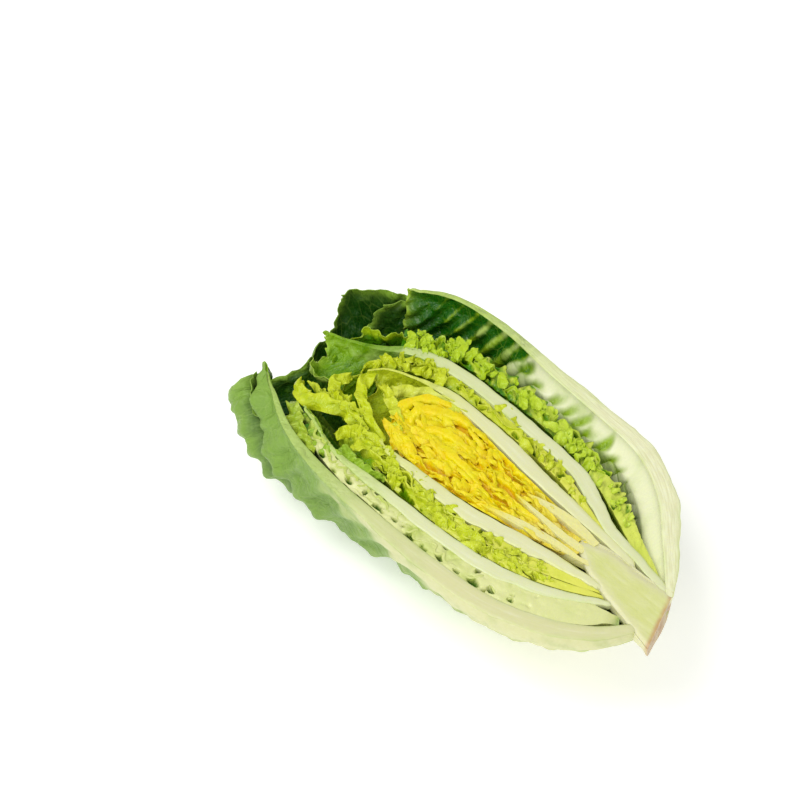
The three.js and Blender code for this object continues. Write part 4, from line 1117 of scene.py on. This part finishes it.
def butt_face(rim, offset):
    """Closes the stem's wide end with rings that shrink to its middle, a little hollow."""
    middle, loop = rim.mean(axis=0), len(rim)
    points, faces, before = [], [], list(range(loop))
    for r in range(1, BUTT_RINGS):
        s = 1 - r / BUTT_RINGS
        ring = middle + (rim - middle) * s
        ring[:, 0] += 0.25 * layered_noise(ring[:, 1] / 2, ring[:, 2] / 2, 6) * (1 - s**4) - 0.5 * (1 - s)
        ring[:, 2] = np.minimum(ring[:, 2], 0)
        points.append(ring)
        here = [offset + (r - 1) * loop + c for c in range(loop)]
        faces += [[before[c], here[c], here[(c + 1) % loop], before[(c + 1) % loop]] for c in range(loop)]
        before = here
    return np.concatenate(points), faces + [before[::-1]]


# ---- Materials ----
def linear(hex_colour):
    """An sRGB colour as Blender's linear RGBA."""
    channels = [int(hex_colour[k : k + 2], 16) / 255 for k in (0, 2, 4)]
    return [c / 12.92 if c <= 0.04045 else ((c + 0.055) / 1.055) ** 2.4 for c in channels] + [1.0]


def linear_colours(palette):
    return {key: linear(value) for key, value in palette.items()}


class Nodes:
    """Short calls for building one material's node tree."""

    def __init__(self, name):
        self.material = bpy.data.materials.new(name)
        self.material.use_nodes = True
        self.tree = self.material.node_tree
        self.shader = self.tree.nodes["Principled BSDF"]

    def link(self, value, socket):
        if isinstance(value, bpy.types.NodeSocket):
            self.tree.links.new(value, socket)
        else:
            socket.default_value = value

    def node(self, kind, inputs, **settings):
        """A new node with its settings and its inputs, which are values or other nodes' outputs."""
        node = self.tree.nodes.new("ShaderNode" + kind)
        for key, value in settings.items():
            setattr(node, key, value)
        for key, value in inputs.items():
            self.link(value, node.inputs[key])
        return node.outputs

    def attribute(self, name):
        return self.node("Attribute", {}, attribute_name=name)["Fac"]

    def place(self):
        return self.node("Attribute", {}, attribute_name="place")["Vector"]

    def add(self, a, b, clamp=False):
        return self.node("Math", {0: a, 1: b}, operation="ADD", use_clamp=clamp)[0]

    def times(self, a, b, clamp=False):
        return self.node("Math", {0: a, 1: b}, operation="MULTIPLY", use_clamp=clamp)[0]

    def mix(self, factor, a, b, blend="MIX"):
        inputs = {"Factor": factor, "A": a, "B": b}
        return self.node("Mix", inputs, data_type="RGBA", blend_type=blend)["Result"]

    def ramp(self, value, low, high, from_value=0.0, to_value=1.0):
        inputs = {"Value": value, "From Min": low, "From Max": high, "To Min": from_value, "To Max": to_value}
        return self.node("MapRange", inputs, interpolation_type="SMOOTHSTEP")[0]

    def scaled(self, vector, scale):
        return self.node("VectorMath", {0: vector, 1: scale}, operation="MULTIPLY")[0]

    def noise(self, vector, scale, detail, distortion=0.0):
        inputs = {"Vector": vector, "Scale": scale, "Detail": detail, "Distortion": distortion}
        return self.node("TexNoise", inputs)["Fac"]

    def cells(self, vector, scale):
        """Distance from the edges of irregular cells."""
        inputs = {"Vector": vector, "Scale": scale}
        return self.node("TexVoronoi", inputs, feature="DISTANCE_TO_EDGE")["Distance"]

    def bump(self, value, distance, strength, **normal):
        inputs = {"Height": value, "Distance": distance, "Strength": strength, **normal}
        return self.node("Bump", inputs)["Normal"]

    def finish(self, colour, roughness, normal, subsurface, radius, scale=0.001, specular=0.5):
        inputs = {
            "Base Color": colour, "Roughness": roughness, "Normal": normal, "Subsurface Weight": subsurface,
            "Subsurface Radius": radius, "Subsurface Scale": scale, "Specular IOR Level": specular,
        }
        for key, value in inputs.items():
            self.link(value, self.shader.inputs[key])
        return self.material


def blade_colour(m, colours, patches, fine, nets, blade):
    """The colour of a leaf away from its cut, from pale at the rib to green and to a dark green that is
    partly painted shade, with veins, edge and back.
    """
    # The dark tone is partly the leaf's own dark green and partly painted shade in hollows, folds and depths.
    dark_tone_and_shade = m.add(m.attribute("dark_tone_and_shade"), m.ramp(patches, 0.3, 0.7, -0.12, 0.12))
    dark_tone_and_shade = m.times(dark_tone_and_shade, m.ramp(fine, 0.25, 0.75, 0.8, 1.15), clamp=True)
    colour = m.mix(m.ramp(blade, 0.0, 0.8), colours["pale"], colours["blade"])
    colour = m.mix(m.ramp(dark_tone_and_shade, 0.0, 0.95), colour, colours["dark_tone_and_shade"])
    strong = m.add(m.ramp(patches, 0.4, 0.7, 0.0, 0.3), m.times(m.attribute("back"), 0.14))
    veins = m.times(m.ramp(nets[0], 0.06, 0.0), strong)
    veins = m.add(veins, m.times(m.ramp(nets[1], 0.07, 0.0), 0.08))
    veins = m.times(veins, m.ramp(blade, 0.15, 0.7))
    colour = m.mix(veins, colour, colours["rim"])
    colour = m.mix(m.times(m.attribute("free"), 0.55), colour, colours["rim"])
    behind = m.times(m.attribute("back"), m.ramp(blade, 0.1, 0.8, 0.0, 0.5))
    return m.mix(behind, colour, colours["back"])


def cut_colour(m, colours, place, patches):
    """The colour of a cut rib, with its fibres and its greener brink and tip."""
    fibres = m.noise(m.scaled(place, (0.16, 1.6, 2.4)), 1.0, 4)
    colour = m.mix(m.ramp(fibres, 0.3, 0.7), colours["cut"], colours["pale"])
    pale_streaks = m.ramp(m.noise(m.scaled(place, (0.05, 0.8, 1.1)), 1.0, 3), 0.5, 0.8, 0.0, 0.35)
    colour = m.mix(pale_streaks, colour, PALE_STREAK)
    colour = m.mix(m.times(m.attribute("tip"), 0.8), colour, colours["rim"])
    return m.mix(m.times(m.attribute("brink"), m.ramp(patches, 0.3, 0.7, 0.15, 0.5)), colour, colours["rim"])


def leaf_relief(m, place, nets, blade):
    """The normal of a leaf with the cells of its veins, a soft crumple and a fine grain."""
    swell = m.add(m.ramp(nets[0], 0.0, 0.5), m.times(m.ramp(nets[1], 0.0, 0.5), 0.35))
    normal = m.bump(m.times(swell, m.ramp(blade, 0.1, 0.8)), 0.0006, 0.5)
    crumple = m.times(m.noise(place, 0.3, 4, 0.8), m.ramp(blade, 0.1, 0.8))
    normal = m.bump(crumple, 0.0025, 0.45, Normal=normal)
    grain = m.times(m.noise(place, 2.6, 3), m.ramp(m.attribute("cut"), 0, 1, 1.0, 0.25))
    return m.bump(grain, 0.00014, 0.4, Normal=normal)


def leaf_material(kind):
    m = Nodes("leaf_" + kind)
    colours = linear_colours(PALETTES[kind])
    place = m.place()
    patches, fine = m.noise(place, 0.12, 4), m.noise(place, 0.9, 4)
    nets = m.cells(place, 0.28), m.cells(place, 0.95)
    blade = m.add(m.attribute("blade"), m.ramp(patches, 0.3, 0.7, -0.16, 0.16), clamp=True)
    colour = blade_colour(m, colours, patches, fine, nets, blade)
    colour = m.mix(m.times(m.attribute("cut"), 0.85), colour, cut_colour(m, colours, place, patches))
    colour = m.mix(m.ramp(fine, 0.2, 0.8, 0.0, 0.22), colour, DULL_PATCH, "MULTIPLY")
    roughness = m.ramp(fine, 0.3, 0.75, GLOSS[kind] - 0.07, GLOSS[kind] + 0.1)
    roughness = m.add(roughness, m.times(m.attribute("back"), 0.12))
    normal = leaf_relief(m, place, nets, blade)
    return m.finish(colour, roughness, normal, 0.06, (0.8, 1.0, 0.25), specular=0.36)


def heart_material():
    m = Nodes("heart_leaf")
    colours = linear_colours(HEART_COLOURS)
    place = m.place()
    patches, fine = m.noise(place, 0.22, 4), m.noise(place, 1.1, 4)
    colour = m.mix(m.ramp(patches, 0.3, 0.7), colours["leaf"], colours["patches"])
    # Painted highlights: light yellow spots laid by noise.
    colour = m.mix(m.ramp(fine, 0.45, 0.75, 0.0, 0.5), colour, colours["light"])
    # Painted shade: deep places of the heart turn dark orange.
    dark_tone_and_shade = m.times(m.attribute("dark_tone_and_shade"), m.ramp(patches, 0.3, 0.7, 0.75, 1.0))
    colour = m.mix(m.times(dark_tone_and_shade, 0.8), colour, colours["dark_tone_and_shade"])
    colour = m.mix(m.attribute("pale"), colour, colours["pale"])
    fibres = m.noise(m.scaled(place, (0.3, 2.2, 2.2)), 1.0, 3)
    colour = m.mix(m.times(m.attribute("cut"), m.ramp(fibres, 0.2, 0.8, 0.1, 0.3)), colour, colours["cut"])
    normal = m.bump(m.noise(place, 1.0, 4), 0.0006, 0.5)
    normal = m.bump(m.noise(place, 3.5, 2), 0.00015, 0.4, Normal=normal)
    return m.finish(colour, m.ramp(fine, 0.3, 0.7, 0.24, 0.42), normal, 0.12, (1.0, 0.8, 0.1), specular=0.3)


def stem_material():
    m = Nodes("stem_pith")
    colours = linear_colours(STEM_COLOURS)
    place = m.place()
    fibres, patches = m.noise(m.scaled(place, (0.12, 0.9, 0.9)), 1.0, 5), m.noise(place, 0.16, 3)
    colour = m.mix(m.ramp(fibres, 0.3, 0.75), colours["pith"], colours["fibres"])
    colour = m.mix(m.ramp(patches, 0.35, 0.75, 0.0, 0.5), colour, colours["patches"])
    colour = m.mix(m.times(m.attribute("rim"), 0.9), colour, colours["rim"])
    browned = m.times(m.attribute("butt"), m.ramp(m.noise(place, 0.3, 4), 0.3, 0.6, 0.5, 0.9))
    colour = m.mix(browned, colour, colours["brown"])
    normal = m.bump(fibres, 0.0002, 0.3)
    normal = m.bump(m.noise(place, 1.2, 3), 0.0003, 0.3, Normal=normal)
    return m.finish(colour, m.ramp(fibres, 0.3, 0.7, 0.32, 0.46), normal, 0.25, (1.0, 1.0, 0.4), scale=0.002)


def floor_material():
    m = Nodes("studio_floor")
    colours = linear_colours(FLOOR_COLOURS)
    fine = m.noise(m.node("TexCoord", {})["Object"], 60, 3)
    colour = m.mix(m.ramp(fine, 0.3, 0.7, 0.0, 0.15), colours["light"], colours["dark"])
    m.shader.inputs["Emission Color"].default_value = WHITE
    m.shader.inputs["Emission Strength"].default_value = FLOOR_GLOW
    return m.finish(colour, m.ramp(fine, 0.3, 0.7, 0.6, 0.7), m.bump(fine, 0.0002, 0.1), 0.0, (1, 1, 1))


# ---- Studio ----
def add_camera():
    data = bpy.data.cameras.new("camera")
    data.lens, data.sensor_width = LENS, SENSOR_WIDTH
    camera = bpy.data.objects.new("camera", data)
    a, e = AZIMUTH, ELEVATION
    back = np.array([math.sin(a) * math.cos(e), -math.cos(a) * math.cos(e), math.sin(e)])
    right = np.array([math.cos(a), math.sin(a), 0])
    matrix = Matrix.Identity(4)
    for column, axis in enumerate((right, np.cross(back, right), back)):
        for row in range(3):
            matrix[row][column] = axis[row]
    matrix.translation = to_frame(np.zeros(3)) + np.array(CAMERA_FROM_CUT)
    camera.matrix_world = matrix
    bpy.context.scene.collection.objects.link(camera)
    bpy.context.scene.camera = camera


def add_area_light(name, energy, place, colour):
    """An area light that faces the head."""
    data = bpy.data.lights.new(name, "AREA")
    data.energy, data.size, data.color = energy, LIGHT_SIZE, colour
    light = bpy.data.objects.new(name, data)
    light.location = place
    direction = Matrix.Translation(place).translation - Matrix.Translation(LIT_POINT).translation
    light.rotation_euler = direction.to_track_quat("Z", "Y").to_euler()
    bpy.context.scene.collection.objects.link(light)


def add_studio():
    world = bpy.data.worlds.new("studio")
    world.use_nodes = True
    background = world.node_tree.nodes["Background"]
    background.inputs["Color"].default_value = WHITE
    background.inputs["Strength"].default_value = WORLD_STRENGTH
    bpy.context.scene.world = world
    bpy.context.scene.view_settings.view_transform = "Standard"
    add_area_light("key", 1.85, (-0.16, -0.2, 0.58), (1, 0.99, 0.96))
    add_area_light("side", 1.0, (0.3, -0.4, 0.35), (1, 1, 1))
    bpy.ops.mesh.primitive_plane_add(size=FLOOR_SIZE, location=(0, 0, 0))
    floor = bpy.context.object
    floor.name = "floor"
    floor.data.materials.append(floor_material())


# ---- Assembly ----
def leaf_parts(leaf):
    """A leaf's sheet with the bed, lobes and loose ends that belong to it."""
    parts = [leaf_sheet(leaf)]
    if "bed" in leaf:
        parts.append(leaf_bed(leaf))
    if "lobes" in leaf:
        parts += leaf_lobes(leaf)
    for k, strip in enumerate(STRIPS.get(leaf["name"], [])):
        parts.append(loose_strip(leaf, 3 * k + leaf["seed"], *strip))
    return parts


def heart_parts():
    folds = [heart_fold(*fold, 6.3 * k + 2) for k, fold in enumerate(HEART_FOLDS)]
    ribs = [heart_rib(*rib) for rib in HEART_RIBS]
    return [heart_floor()] + folds + heart_petals() + [heart_rim()] + ribs


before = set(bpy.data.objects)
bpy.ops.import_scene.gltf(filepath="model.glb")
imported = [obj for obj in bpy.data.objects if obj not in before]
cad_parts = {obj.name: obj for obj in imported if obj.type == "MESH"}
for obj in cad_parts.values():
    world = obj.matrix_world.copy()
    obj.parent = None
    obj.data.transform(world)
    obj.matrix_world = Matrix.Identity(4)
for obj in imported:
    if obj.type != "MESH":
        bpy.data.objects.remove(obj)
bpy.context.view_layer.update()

materials = {kind: leaf_material(kind) for kind in PALETTES}
for leaf in LEAVES:
    name = leaf["name"]
    make_object("look_" + name, leaf_parts(leaf), materials[leaf["palette"]], name)
make_object("look_heart", heart_parts(), heart_material(), "heart")
make_object("look_stem", [stem_part()], stem_material(), "stem")

add_studio()
add_camera()
